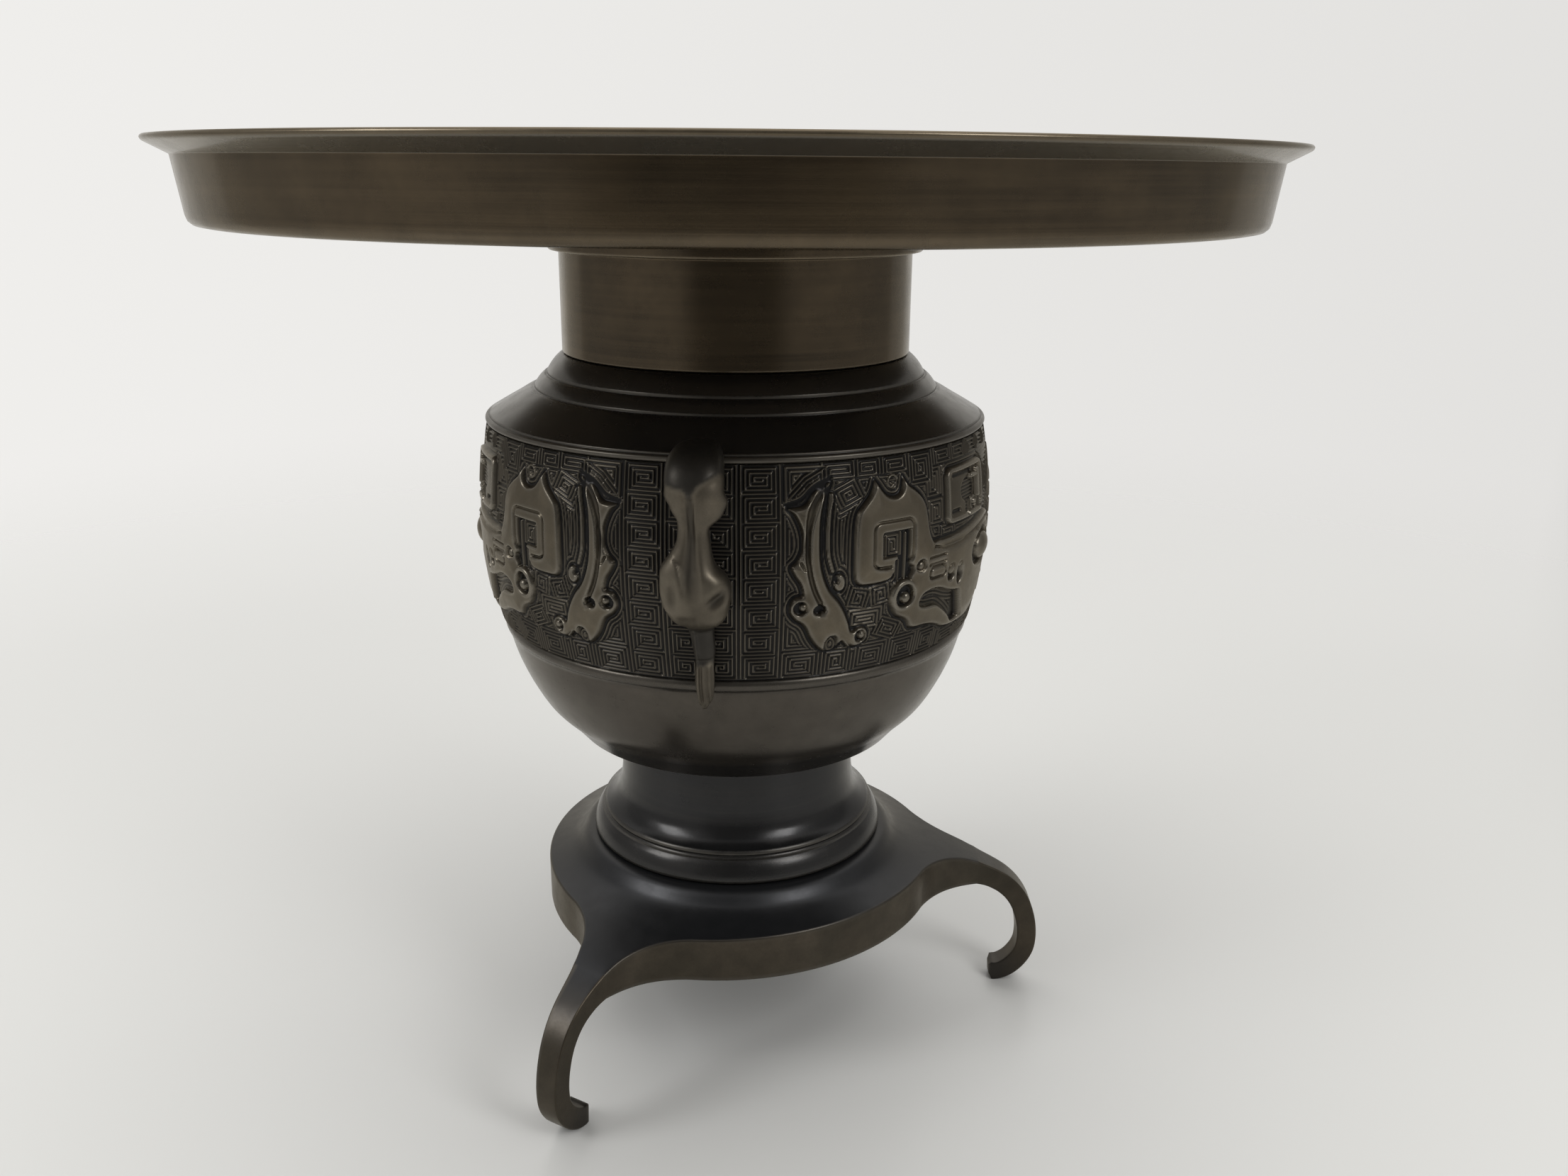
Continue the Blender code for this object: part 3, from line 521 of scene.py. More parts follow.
class Drawing:
    """The heights of the relief over a grid of places x and y, and the strokes that raise and cut them.

    shape, box and oval measure the distance to a figure, positive inside, and line that to a line.
    """

    def __init__(self):
        self.x = np.broadcast_to(np.linspace(0.0, DRAWING_W, COLUMNS + 1), (ROWS + 1, COLUMNS + 1))
        self.y = np.broadcast_to(np.linspace(0.0, BAND_H, ROWS + 1)[:, None], self.x.shape)
        self.height = np.zeros(self.x.shape)

    def nearest(self, sides):
        """Distance to the nearest of some straight sides, each given by its two ends."""
        square = np.full(self.x.shape, 1e9)
        for (ax, ay), (bx, by) in sides:
            ex, ey = bx - ax, by - ay
            dx, dy = self.x - ax, self.y - ay
            t = np.clip((dx * ex + dy * ey) / (ex * ex + ey * ey + 1e-12), 0.0, 1.0)
            square = np.minimum(square, (dx - t * ex) ** 2 + (dy - t * ey) ** 2)
        return np.sqrt(square)

    def shape(self, outline):
        """Distance to a closed outline. A place is inside if a ray from it crosses an odd number of sides."""
        sides = list(zip(outline, np.roll(outline, -1, 0)))
        inside = np.zeros(self.x.shape, bool)
        for (ax, ay), (bx, by) in sides:
            if ay != by:
                crossing = (bx - ax) * (self.y - ay) / (by - ay) + ax
                inside ^= ((ay > self.y) != (by > self.y)) & (self.x < crossing)
        return np.where(inside, 1.0, -1.0) * self.nearest(sides)

    def line(self, *points, smooth=4):
        """Distance to an open smooth line through points."""
        line = spline(points, len(points) * smooth)
        return self.nearest(zip(line, line[1:]))

    def box(self, x0, y0, x1, y1, corner):
        """Distance to a box with round corners."""
        px = np.abs(self.x - (x0 + x1) / 2) - (x1 - x0) / 2 + corner
        py = np.abs(self.y - (y0 + y1) / 2) - (y1 - y0) / 2 + corner
        past_corner = np.hypot(np.maximum(px, 0.0), np.maximum(py, 0.0))
        return corner - past_corner - np.minimum(np.maximum(px, py), 0.0)

    def oval(self, cx, cy, rx, ry):
        """Distance to an oval, taken as the share of the way in times the mean radius."""
        return (1.0 - np.hypot((self.x - cx) / rx, (self.y - cy) / ry)) * (rx + ry) / 2

    def raised(self, inside, level=FIGURE_H, edge=FIGURE_EDGE):
        """Raises the heights to a level inside a figure, over a soft edge."""
        self.height = np.maximum(self.height, level * smooth_step(inside / edge))

    def sunk(self, inside, level=0.1, edge=0.5):
        """Lowers the heights to a level inside a figure, over a soft edge."""
        self.height = self.height + np.minimum(level - self.height, 0.0) * smooth_step(inside / edge)

    def scored(self, distance, half_width, depth):
        """Cuts a round groove along a line."""
        self.height = self.height - depth * smooth_step(1.2 - distance / half_width)

    def cut_down(self, where, level):
        """Lowers the heights to a level wherever a test holds."""
        self.height = np.where(where, np.minimum(self.height, level), self.height)

    def bossed(self, cx, cy, rx, ry, foot, rise):
        """Sets a boss on a foot level: a half ball, or half an egg, over an oval."""
        ball = np.sqrt(np.clip(1.0 - ((self.x - cx) / rx) ** 2 - ((self.y - cy) / ry) ** 2, 0.0, 1.0))
        self.height = np.where(ball > 0.0, np.maximum(self.height, foot + rise * ball), self.height)

    def curl(self, cx, cy, radius, boss, shift_x, shift_y):
        """Sets a curl: a raised round, a sunk crescent in it, and a boss that stands off to one side."""
        self.raised(self.oval(cx, cy, radius, radius))
        self.sunk(self.oval(cx, cy, radius * 0.68, radius * 0.68))
        self.bossed(cx + shift_x, cy + shift_y, boss, boss, 0.4, 0.9)


# Square spirals of the ground: the middle (x, y) and the width and height of each in lines, and its tilt
SPIRAL_COLUMNS = [(x, 7 * row + 3.5, wide, 7, 0.0) for x, wide in ((4.0, 8), (13.5, 9)) for row in range(8)]
SPIRAL_ROWS = [
    (32.0, 54.0, 8, 4, 0.0), (40.0, 54.0, 6, 4, 0.0), (47.5, 54.0, 7, 4, 0.0), (56.0, 52.0, 8, 8, 0.0),
    (64.5, 54.0, 7, 4, 0.0), (72.5, 54.0, 7, 4, 0.0), (80.5, 54.0, 7, 4, 0.0), (88.5, 54.0, 7, 4, 0.0),
    (96.5, 54.0, 7, 4, 0.0), (23.5, 3.5, 9, 7, 0.0), (32.5, 3.5, 7, 7, 0.0), (42.5, 3.5, 9, 7, 0.0),
    (52.5, 3.5, 9, 7, 0.0), (62.0, 3.5, 8, 7, 0.0), (72.0, 2.0, 9, 4, 0.0), (83.0, 2.0, 9, 4, 0.0),
]
SPIRAL_FILLERS = [
    (34.2, 47.8, 6, 5, 24.0), (37.4, 20.5, 5, 5, -14.0), (43.2, 20.6, 5, 5, 8.0), (39.6, 14.6, 9, 5, 0.0),
    (46.5, 10.6, 7, 5, -24.0), (60.4, 47.5, 5, 7, 0.0), (60.9, 39.6, 5, 6, 0.0), (66.0, 33.6, 6, 3, 0.0),
]
CORNER_CELL = ((22.2, 57.0), (34.4, 57.0), (27.6, 53.6), (22.2, 48.4))


def square_spiral(p, q, wide, high, mirrored=False):
    """A square spiral of raised lines, from 0 to 1, of wide by high lines, at p and q lines from its middle.

    Above the middle the lines are half frames nested around it. Below, the frames are half a line further
    to the right, so that each runs on into the next. A line is a wave of the distance from the inner frame.
    """
    p = -p if mirrored else p
    turns = math.floor(min(wide, high) / 2)
    shift = np.where(q < 0, 0.5, 0.0)
    return wave(np.maximum(np.abs(p - shift) - (wide / 2 - turns - shift), np.abs(q) - (high / 2 - turns)))


def ground_lines(d, away):
    """The ground: square spirals in two columns by the handle, in rows at top and foot and in the gaps.

    Between them, lines run around the figures and the spirals at even distances. Beside a figure the ground
    is a plain groove.
    """
    nearest = np.full(d.x.shape, 1e9)
    line = np.zeros(d.x.shape)
    for k, (cx, cy, wide, high, tilt) in enumerate(SPIRAL_FILLERS + SPIRAL_COLUMNS + SPIRAL_ROWS):
        c, s = math.cos(math.radians(tilt)), math.sin(math.radians(tilt))
        dx, dy = d.x / LINE_X - cx, d.y / LINE_Y - cy
        p, q = dx * c + dy * s, dy * c - dx * s
        inside = np.minimum(wide / 2 - np.abs(p), high / 2 - np.abs(q))
        line = np.where(inside > -0.01, square_spiral(p, q, wide, high, k % 2 == 1), line)
        nearest = np.minimum(nearest, np.maximum(-inside, 0.0) * LINE_Y)
    corner = d.shape(CORNER_CELL)
    line = np.where(corner > 0, wave(corner / LINE_Y), line)
    nearest = np.minimum(nearest, np.maximum(-corner, 0.0))
    from_figure = away - FIGURE_GAP
    around = np.where(from_figure < nearest, 1.0 - wave(from_figure / LINE_Y), wave(nearest / LINE_Y))
    line = np.where(nearest > 0.01, around, line)
    return LINE_H * line**1.5 * smooth_step((away - 0.15) / 0.4)


BROW = (74.1, 35.9, 97.8, 51.9, 2.6)
DRAGON_EYE = (36.7, 26.3, 1.8, 2.6)
CREST_STRIP = ((34.6, 49.6), (33.8, 44.4), (33.4, 38.4), (33.7, 33.4), (34.8, 29.6))


def dragon_details(d):
    """The dragon's grooves beside its crest and back, its curls, its eye and the hollow of its mouth."""
    crest = d.line((32.6, 51.4), (30.3, 48.4), (28.7, 44.9), (27.9, 40.4), (27.7, 35.4), (28.1, 30.9),
                   (29.2, 26.4), (30.3, 23.4), (31.4, 21.2))
    d.scored(crest, 0.85 + 0.5 * smooth_step((d.y - 40.0) / 6.0), 1.2)
    d.scored(d.line((25.9, 32.6), (27.0, 30.8)), 0.5, 0.8)
    d.raised(0.8 - d.line(*CREST_STRIP), 0.75, 0.5)
    d.raised(0.35 - d.line((34.95, 48.6), *[(x - 0.25, y) for x, y in CREST_STRIP[1:]]), 1.0, 0.35)
    d.raised(d.oval(*DRAGON_EYE), 1.1, 0.6)
    d.sunk(d.oval(35.8, 27.2, 0.8, 1.3), 0.1, 0.4)
    d.curl(26.0, 20.2, 3.1, 1.1, 0.95, 0.1)
    d.sunk(d.oval(31.2, 19.4, 2.0, 1.7), 0.1, 0.6)
    d.bossed(32.7, 17.3, 1.55, 1.55, 0.7, 1.3)
    mouth = d.oval(35.2, 8.9, 2.3, 3.2)
    d.cut_down(mouth > 0.2, 0.12 + 0.5 * wave((mouth - 0.3) / LINE_Y))
    lip = d.line((32.4, 8.4), (32.9, 11.6), (35.0, 13.0), (37.2, 12.4), (38.6, 10.2), (40.6, 8.0))
    d.raised(0.55 - lip, 1.5, 0.5)
    d.curl(44.0, 10.3, 2.9, 1.1, 0.5, 0.2)


def horn_details(d):
    """The horn's opening, the arm, the square spiral and the strips in it, and the curl between its tips."""
    rim = d.box(46.4, 28.9, 59.8, 41.2, 2.2)
    d.scored(np.abs(rim) + 9.0 * (d.y < 26.0), 0.45, 0.9)
    d.sunk(np.maximum(d.box(49.0, 31.0, 59.6, 38.6, 0.7), d.box(54.2, 21.5, 59.6, 34.0, 0.5)), 0.0, 0.7)
    d.height = np.where(rim > 0.2, d.height * 0.9, d.height)
    d.raised(d.box(48.4, 26.2, 54.0, 31.2, 1.2), 1.2, 0.6)
    d.scored(d.line((48.2, 28.9), (50.4, 28.5), (52.4, 28.6), smooth=2), 0.45, 0.8)
    spiral = square_spiral((d.x - 52.7) / 0.98, (d.y - 34.6) / 0.98, 6, 7)
    d.height = np.where(d.box(49.5, 31.3, 56.0, 38.1, 0.3) > 0.15, LINE_H * 1.2 * spiral, d.height)
    d.raised(0.5 - d.line((57.4, 24.4), (57.4, 30.0), (57.4, 37.2), smooth=2), 0.8, 0.5)
    d.raised(0.35 - d.line((55.3, 24.0), (55.3, 30.0), smooth=2), 0.5, 0.35)
    between_tips = d.line((55.0, 52.0), (53.6, 53.0), (52.0, 52.4), (51.6, 50.9), (52.6, 49.9), (53.7, 50.6))
    d.raised(0.5 - between_tips, 0.9, 0.45)


def mask_details(d):
    """The mask's ledge, the bars and curls of its cheek, the sunk pool with lines in it, and its two eyes."""
    ledge = d.line((69.0, 31.4), (73.0, 30.4), (80.0, 30.2), (88.0, 31.0), (96.0, 32.2), (104.0, 33.2))
    d.cut_down((d.y > 30.8) & (d.x > 67.5), 1.2)
    d.scored(ledge, 0.5, 0.6)
    d.curl(63.2, 27.2, 2.9, 1.5, 0.7, -0.4)
    for level in (28.7, 26.7):
        d.scored(d.line((66.3, level), (73.6, level), smooth=2), 0.45, 0.9)
    d.scored(np.abs(d.box(66.8, 22.6, 73.8, 25.8, 1.3)), 0.5, 1.0)
    d.raised(d.oval(57.6, 19.6, 5.2, 5.2), 1.7, 1.0)
    d.sunk(d.oval(57.8, 19.6, 3.4, 3.5), 0.05, 0.7)
    d.bossed(58.5, 18.8, 1.6, 1.6, 0.4, 1.3)
    pool = d.shape(loop(POOL))
    d.sunk(pool, 0.0, 0.9)
    waves = 0.5 * (1.0 - wave((pool - 0.5) / LINE_Y))
    d.height = np.where((pool > 0.5) & (d.x < 81.0), np.maximum(d.height, waves), d.height)
    arch = d.line((62.3, 16.4), (63.4, 19.2), (68.0, 20.7), (72.5, 20.3), (76.5, 18.8), (79.0, 18.0))
    d.raised(0.6 - arch, 1.85, 0.6)
    d.sunk(d.box(74.8, 19.8, 79.0, 25.4, 2.0), 0.0, 0.8)
    d.bossed(77.0, 23.6, 1.7, 1.9, 0.7, 1.4)
    d.raised(d.oval(82.0, 21.6, 3.2, 5.0), 1.8, 1.0)
    d.sunk(d.oval(81.8, 21.4, 1.9, 3.6), 0.0, 0.7)
    d.bossed(82.3, 24.0, 1.2, 1.5, 0.5, 1.2)
    d.raised(1.2 - d.line((83.8, 17.0), (86.0, 12.4), (88.0, 7.2)), 1.85, 0.8)
    d.sunk(d.oval(97.0, 25.4, 8.0, 5.6), 0.2, 1.0)
    d.raised(0.6 - np.abs(d.oval(97.0, 25.4, 8.4, 6.0)), 1.7, 0.6)
    d.bossed(99.6, 25.2, 5.6, 4.2, 0.5, 2.4)


def brow_details(d):
    """The brow: a box with a thin rim, a key-shaped recess with fine lines in it, and two curls."""
    d.raised(d.box(*BROW), 1.5, 0.8)
    d.sunk(d.box(75.6, 37.4, 96.4, 50.5, 1.8), 0.6, 0.6)
    recess = np.maximum(d.oval(87.2, 44.2, 4.6, 3.6), d.box(85.6, 36.8, 87.4, 42.6, 0.5))
    lined = np.minimum(d.height, 0.05 + 0.4 * wave(d.y / 0.95))
    d.sunk(recess)
    d.height = np.where(recess > 0.35, lined, d.height)
    d.sunk(d.box(78.0, 48.2, 90.5, 49.8, 0.6), 0.05, 0.5)
    d.sunk(d.box(77.4, 38.2, 83.0, 40.0, 0.8), 0.05, 0.6)
    d.raised(np.maximum(d.box(92.0, 40.6, 94.6, 49.8, 0.9), d.box(88.0, 46.6, 94.4, 48.6, 0.8)), 1.6, 0.6)
    d.curl(90.7, 39.6, 2.8, 1.0, 0.7, 0.3)
    d.curl(97.0, 38.6, 2.6, 1.0, 0.5, 0.3)


def nose_details(d):
    """The mask's nose: a ridge along its middle, wings with a nostril, and ribs on the forehead."""
    d.raised(d.shape(loop(NOSE)), 0.9, 1.0)
    ridge = smooth_step((3.0 - np.abs(d.x - DRAWING_W)) / 2.4) * smooth_step((d.y - 8.0) / 4.0)
    d.height = np.maximum(d.height, 1.25 * ridge * smooth_step((50.0 - d.y) / 8.0))
    d.sunk(d.oval(115.2, 12.2, 1.9, 2.6), 0.1, 0.6)
    d.bossed(116.0, 12.4, 1.2, 1.5, 0.3, 0.8)
    for level in (24.0, 29.0, 34.0, 39.0):
        d.scored(d.line((117.0, level), (DRAWING_W + 1.0, level + 1.0), smooth=1), 0.5, 0.4)


def relief_heights():
    """The height of the relief: the ground's lines, flat figures with soft edges, and their details.

    The ground keeps away from the figures, the nose, the dragon's eye and crest, and the corner's channel.
    """
    d = Drawing()
    figures = np.maximum.reduce([d.shape(loop(f)) for f in (DRAGON, HORN, FACE)] + [d.box(*BROW)])
    channel = 0.1 - d.line((22.0, 47.6), (26.2, 48.8), (29.4, 51.6), (34.4, 54.0))
    beside = [channel, 0.8 - d.line(*CREST_STRIP), d.oval(*DRAGON_EYE), d.shape(loop(NOSE))]
    d.height = ground_lines(d, np.maximum(-np.maximum.reduce([figures] + beside), 0.0))
    d.raised(figures)
    d.height = d.height + 0.5 * smooth_step((figures - 0.5) / 4.5)
    for add_details in (dragon_details, horn_details, mask_details, brow_details, nose_details):
        add_details(d)
    return d.height


def surface_rub_and_sheen(height):
    """Where hands have rubbed the relief, worn metal with a painted highlight: places that stand out from the
    mean height around them.
    """
    around = height.copy()
    for _ in range(10):
        padded = np.pad(around, 1, mode="edge")
        around = (padded[:-2, 1:-1] + padded[2:, 1:-1] + padded[1:-1, :-2] + padded[1:-1, 2:]) / 4
    return np.clip((height - around) / 0.35, 0.0, 1.0) * (0.35 + 0.65 * smooth_step((height - 0.6) / 0.5))


def relief_tone_and_groove_shade(height):
    """How brown the relief is, with painted shade: black in the grooves, where shade falls, and darker low on
    the figures' edges, greyer on the ground's lines, brown on the figures.
    """
    lines = 0.6 * smooth_step((height / LINE_H - 0.2) / 0.6)
    return np.maximum(lines * (height < 0.8), smooth_step((height - 0.6) / 0.5))


def make_quarter(name, start, side, height, rub_and_sheen):
    """A quarter of the band: its drawing bent around the body, and the wall's smooth inner side behind it.

    A point's turn is its x over the drawing's width times 90 degrees, and its radius is the band's ground at
    that height plus the relief.
    """
    turn = np.radians(start + side * 90.0 * np.linspace(0.0, 1.0, COLUMNS + 1))
    z = BAND_Z + np.linspace(0.0, BAND_H, ROWS + 1)[:, None]
    inner_z = BAND_Z + BAND_H * np.array([1.0, 0.8, 0.45, 0.15, 0.0])[:, None]
    inner = placed(turn, band_radius(inner_z) - WALL, 0.0, inner_z)
    points = np.concatenate([placed(turn, band_radius(z) + height, 0.0, z), inner])
    rows, columns = points.shape[:2]
    end = np.arange(rows) * columns
    border = np.zeros((rows, columns), bool)
    border[[0, ROWS]] = True
    border[: ROWS + 1, [0, COLUMNS]] = True
    plain = np.zeros(inner.shape[:2])
    values = {"rub_and_sheen": np.concatenate([rub_and_sheen, plain]), "tone": np.concatenate([relief_tone_and_groove_shade(height), plain])}
    quads = grid_faces(rows, columns, wrap_rows=True)
    ends = [end, end[::-1] + COLUMNS]
    return add_piece(name, points.reshape(-1, 3), quads, values, polygons=ends, sharp=border.ravel())


# The handles

HANDLE_STATIONS = (
    # height above the band's foot, stand-off from the belly, half thickness, reach to the left and right
    (-7.8, -2.0, 0.5, 0.1, 1.0),
    (-4.6, -1.2, 1.3, 1.1, 2.7),
    (0.0, 0.0, 2.3, 1.7, 3.4),
    (6.6, 0.9, 2.3, 1.4, 3.5),
    (9.6, 1.6, 2.8, 1.7, 3.9),
    (17.0, 2.6, 3.1, 3.3, 4.0),
    (20.4, 4.8, 4.2, 5.2, 6.4),
    (22.6, 6.4, 5.3, 7.2, 7.9),
    (25.4, 7.8, 5.8, 8.3, 8.7),
    (29.0, 8.9, 5.8, 8.9, 9.0),
    (32.0, 9.6, 5.3, 8.8, 8.0),
    (35.0, 10.0, 4.6, 8.3, 5.4),
    (38.0, 10.3, 3.9, 6.2, 4.5),
    (41.0, 10.4, 3.6, 4.5, 4.1),
    (45.0, 10.6, 3.5, 3.9, 3.8),
    (50.0, 11.1, 4.3, 4.6, 5.6),
    (54.4, 10.5, 5.4, 6.9, 7.4),
    (58.0, 8.4, 5.7, 7.2, 7.3),
    (60.2, 4.4, 4.9, 6.6, 6.8),
    (60.8, -0.8, 4.0, 5.6, 5.7),
)
HANDLE_RINGS = 160
FRONT_SIDES = 44
BACK_SIDES = 16
SEAT_REACH = 2.5
SEAT_GAP = 0.3


def body_outline():
    """The body's outer radius for heights beside the band, as (radius, height) points."""
    bowl = between((BOWL_LOW_R, BOWL_Z), (BEAD_R - 0.4, BEAD_Z), BOWL_SHARES)
    z = BAND_Z + np.linspace(0.0, BAND_H, 25)
    shares = ((0.0, 0.0), (0.34, 0.36), (0.6, 0.62), (0.83, 0.86), (1.0, 1.0))
    shoulder = between((TOP_BEAD_R - 0.6, SHOULDER_Z), (STEP_R, STEP_Z), shares)
    top = [(TOP_BEAD_R, BAND_TOP_Z + 0.6), *shoulder, (COLLAR_R, COLLAR_Z), (NECK_R, MOUTH_Z)]
    return np.array(bowl + [(BEAD_R, BEAD_Z + 1.5)] + list(zip(band_radius(z), z)) + top)


def seat_radius(z):
    """How near the axis a handle may come at a height: the body's widest just below and above, and a gap."""
    outline = body_outline()
    reach = np.array([-1.0, -0.5, 0.0, 0.5, 1.0]) * SEAT_REACH
    return np.interp(z[..., None] + reach, outline[:, 1], outline[:, 0]).max(axis=-1) + SEAT_GAP


def bell(t):
    """1 at 0, falling on both sides as a bell."""
    return np.exp(-(t**2))


def spot(h, x, middle, size):
    """A soft round place on the handle: 1 at its middle (height, across), falling as a bell."""
    return np.exp(-(((h - middle[0]) / size[0]) ** 2) - ((x - middle[1]) / size[1]) ** 2)


def handle_marks(h, x):
    """What is modelled on the front of the head, in millimetres outwards, and where its shield lies.

    Under the forehead's shield runs a channel with a sharp ridge at its right. The cheeks stand out beside
    it, with a hollow in the left one and a slanting nostril in the right one. Below them the stem has a
    ridge, and the leaf has ribs. h is the height above the band's foot and x the distance across.
    """
    shield = smooth_step((h - 53.3 - 0.04 * (x + 2.0) ** 2 + 1.4 * bell((x + 0.2) / 1.2)) / 0.8)
    marks = 0.85 * shield * smooth_step((62.0 - h) / 6.0)
    channel = smooth_step((h - 27.0) / 9.0) * (1.0 - shield)
    half = 1.0 + 0.7 * smooth_step((45.0 - h) / 12.0)
    side = x + 0.2 + 0.6 * smooth_step((45.0 - h) / 15.0)
    marks -= 1.3 * channel * bell(side / half)
    marks += 0.4 * channel * smooth_step((h - 42.0) / 3.0) * bell((side - half - 0.3) / 0.4)
    left_edge = np.interp(h, (25.0, 29.0, 33.0, 36.3, 38.4), (-0.5, -0.9, -2.0, -3.0, -4.9))
    right_edge = np.interp(h, (25.0, 32.0, 38.6), (1.2, 1.2, 0.8))
    left_cheek = smooth_step((h - 23.5) / 2.5) * smooth_step((38.8 - h) / 1.4)
    right_cheek = smooth_step((h - 24.0) / 3.0) * smooth_step((40.0 - h) / 7.0)
    marks += 0.75 * left_cheek * smooth_step((left_edge - x) / 0.9)
    marks += 0.5 * right_cheek * smooth_step((x - right_edge) / 1.6)
    along = 0.81 * (x - 5.8) + 0.59 * (h - 28.4)
    beside = 0.81 * (h - 28.4) - 0.59 * (x - 5.8)
    marks -= 1.8 * spot(along, beside, (0.0, 0.0), (3.2, 1.35))
    marks += 0.15 * spot(along, beside, (0.0, 2.6), (3.2, 1.2))
    marks -= 1.0 * spot(h, x, (29.4, -5.2), (2.8, 1.1))
    marks += 0.7 * spot(h, x, (23.0, 4.8), (1.8, 2.6)) + 0.5 * spot(h, x, (23.8, -4.8), (2.2, 2.4))
    marks -= 0.5 * spot(h, x, (23.2, -0.2), (1.6, 0.7))
    leaf = smooth_step((6.8 - h) / 1.0) * smooth_step((h + 7.4) / 2.0)
    marks += leaf * (0.25 * np.cos(2 * math.pi * (x - 0.8) / 1.5) + 0.5 * bell((x + 0.8) / 0.45))
    stem = smooth_step((h - 9.0) / 1.5) * smooth_step((19.0 - h) / 2.0)
    marks += 0.6 * stem * bell((x - np.interp(h, (9.0, 19.0), (-0.4, -1.0))) / 0.6)
    marks -= 0.6 * spot(h, x, (7.8, 0.8), (0.6, 4.0))
    return marks, shield


def ear_reach(h, x):
    """How far the ears reach out of the head's sides, in millimetres, further and lower on the right."""
    left = 1.2 * np.exp(-(((h - 50.9) / 2.9) ** 4))
    right = 2.4 * np.exp(-(((h - 49.6) / 3.6) ** 4))
    return np.where(x > 0.0, right, -left)


def make_handle(name, turn):
    """A beast's long head, its rings carried along a path from the leaf below to the forehead.

    A ring is an oval: its reach to each side times a power of the cosine across, and half its thickness times
    the same power of the sine outwards, moved out by the marks of the head. The power is 1 at the stem and
    0.8, which flattens the oval, at the head. No point comes nearer the axis than the body's seat.
    """
    stations = spline(HANDLE_STATIONS, HANDLE_RINGS)
    path = np.stack([BELLY_R + stations[:, 1], BAND_Z + stations[:, 0]], axis=1)
    out = crosswise(np.gradient(path, axis=0))
    front_half = np.linspace(0.0, math.pi, FRONT_SIDES, endpoint=False)
    back_half = np.linspace(math.pi, 2 * math.pi, BACK_SIDES, endpoint=False)
    a = np.concatenate([front_half, back_half])
    c, s = np.cos(a), np.sin(a)
    sides = len(a)
    h = np.broadcast_to(stations[:, 0:1], (HANDLE_RINGS, sides))
    reach = np.where(c > 0.0, stations[:, 4:5], stations[:, 3:4])
    power = 1.0 - 0.2 * smooth_step((h - 18.0) / 4.0)
    across = np.sign(c) * np.abs(c) ** power * reach + ear_reach(h, c) * bell((s + 0.1) / 0.6)
    front = smooth_step(s * 2.0)
    marks, shield = handle_marks(h, across)
    marks = marks * front
    outward = np.sign(s) * np.abs(s) ** power * stations[:, 2:3] + marks
    z = path[:, 1:] + out[:, 1:] * outward
    radius = np.maximum(path[:, :1] + out[:, :1] * outward, np.sqrt(seat_radius(z) ** 2 - across**2))
    points = placed(math.radians(turn), radius, across, z).reshape(-1, 3)
    quads = grid_faces(HANDLE_RINGS, sides, wrap_columns=True)
    ring = np.arange(sides)
    ends = [ring[::-1], ring + (HANDLE_RINGS - 1) * sides]
    # Painted shade: the forehead's shield, facing the dark above, and the stem under the muzzle stay black,
    # the tone darkens in the channel and the hollows, and the back is darker. Raised marks are rubbed, worn
    # metal with a painted highlight.
    nose = (1.0 - shield) * smooth_step((h - 19.0) / 2.0)
    unshaded_brown = np.maximum(nose, 0.7 * smooth_step((7.0 - h) / 1.5))
    rub_and_sheen = np.clip(marks, 0.0, 1.0) * 0.5 * unshaded_brown + spot(h, across, (6.4, 2.4), (0.8, 0.7))
    tone = unshaded_brown * (0.35 + 0.65 * front) * (1.0 - 0.6 * smooth_step(-marks / 1.1))
    return add_piece(name, points, quads, {"rub_and_sheen": rub_and_sheen, "tone": tone}, polygons=ends)


# The stand


def half_width(distance):
    """Half the stand's width at a distance along a leg: the strap's, and a flare that fades exponentially."""
    return STRAP_W / 2 + FLARE_W * np.exp(-(distance - FLARE_START) / FLARE_FADE)


def plate_top(radius):
    """Height of the stand's upper face: level under the foot, then falling outwards along a smooth curve."""
    edge_z = EDGE_UNDER_Z + EDGE_H
    shares = ((0.0, 0.0), (0.084, 0.03), (0.167, 0.134), (0.251, 0.317), (0.32, 0.463), (0.418, 0.598),
              (0.557, 0.72), (0.739, 0.848), (1.0, 1.0))
    curve = between((PLINTH_R, PLATE_TOP_Z - 0.12), (LOBE_R, edge_z), shares)
    shares = ((0.25, 0.20), (0.46, 0.37), (0.74, 0.64), (1.0, 1.0))
    curve += between((LOBE_R, edge_z), (ROOT_R, edge_z - ROOT_DROP), shares)
    line = spline([(FOOT_R - 1.4, PLATE_TOP_Z), (FOOT_R - 0.2, PLATE_TOP_Z)] + curve, 120)
    return np.interp(radius, line[:, 0], line[:, 1])


def leg_line(root_z):
    """The leg's middle line (distance, height) from the plate's root over the knee to the hooked toe.

    It leaves the root in the slope of the plate's upper face. Its points are at even distances.
    """
    shares = ((0.292, 1.003), (0.514, 0.931), (0.681, 0.849), (0.816, 0.747), (0.914, 0.621), (0.973, 0.489),
              (0.989, 0.368), (0.957, 0.242), (0.854, 0.14), (0.703, 0.058), (0.519, 0.008), (0.346, 0.0))
    points = between((ROOT_R, STRAP_T / 2), (ROOT_R + LEG_OUT, LEG_TOP_Z), shares)
    line = spline([(ROOT_R - 4.0, root_z + 1.7), (ROOT_R, root_z)] + points, 600)
    line = line[np.argmax(line[:, 0] >= ROOT_R) :]
    gone = travel(line)
    even = np.linspace(0.0, gone[-1], LEG_RINGS)
    return np.stack([np.interp(even, gone, line[:, 0]), np.interp(even, gone, line[:, 1])], axis=1)


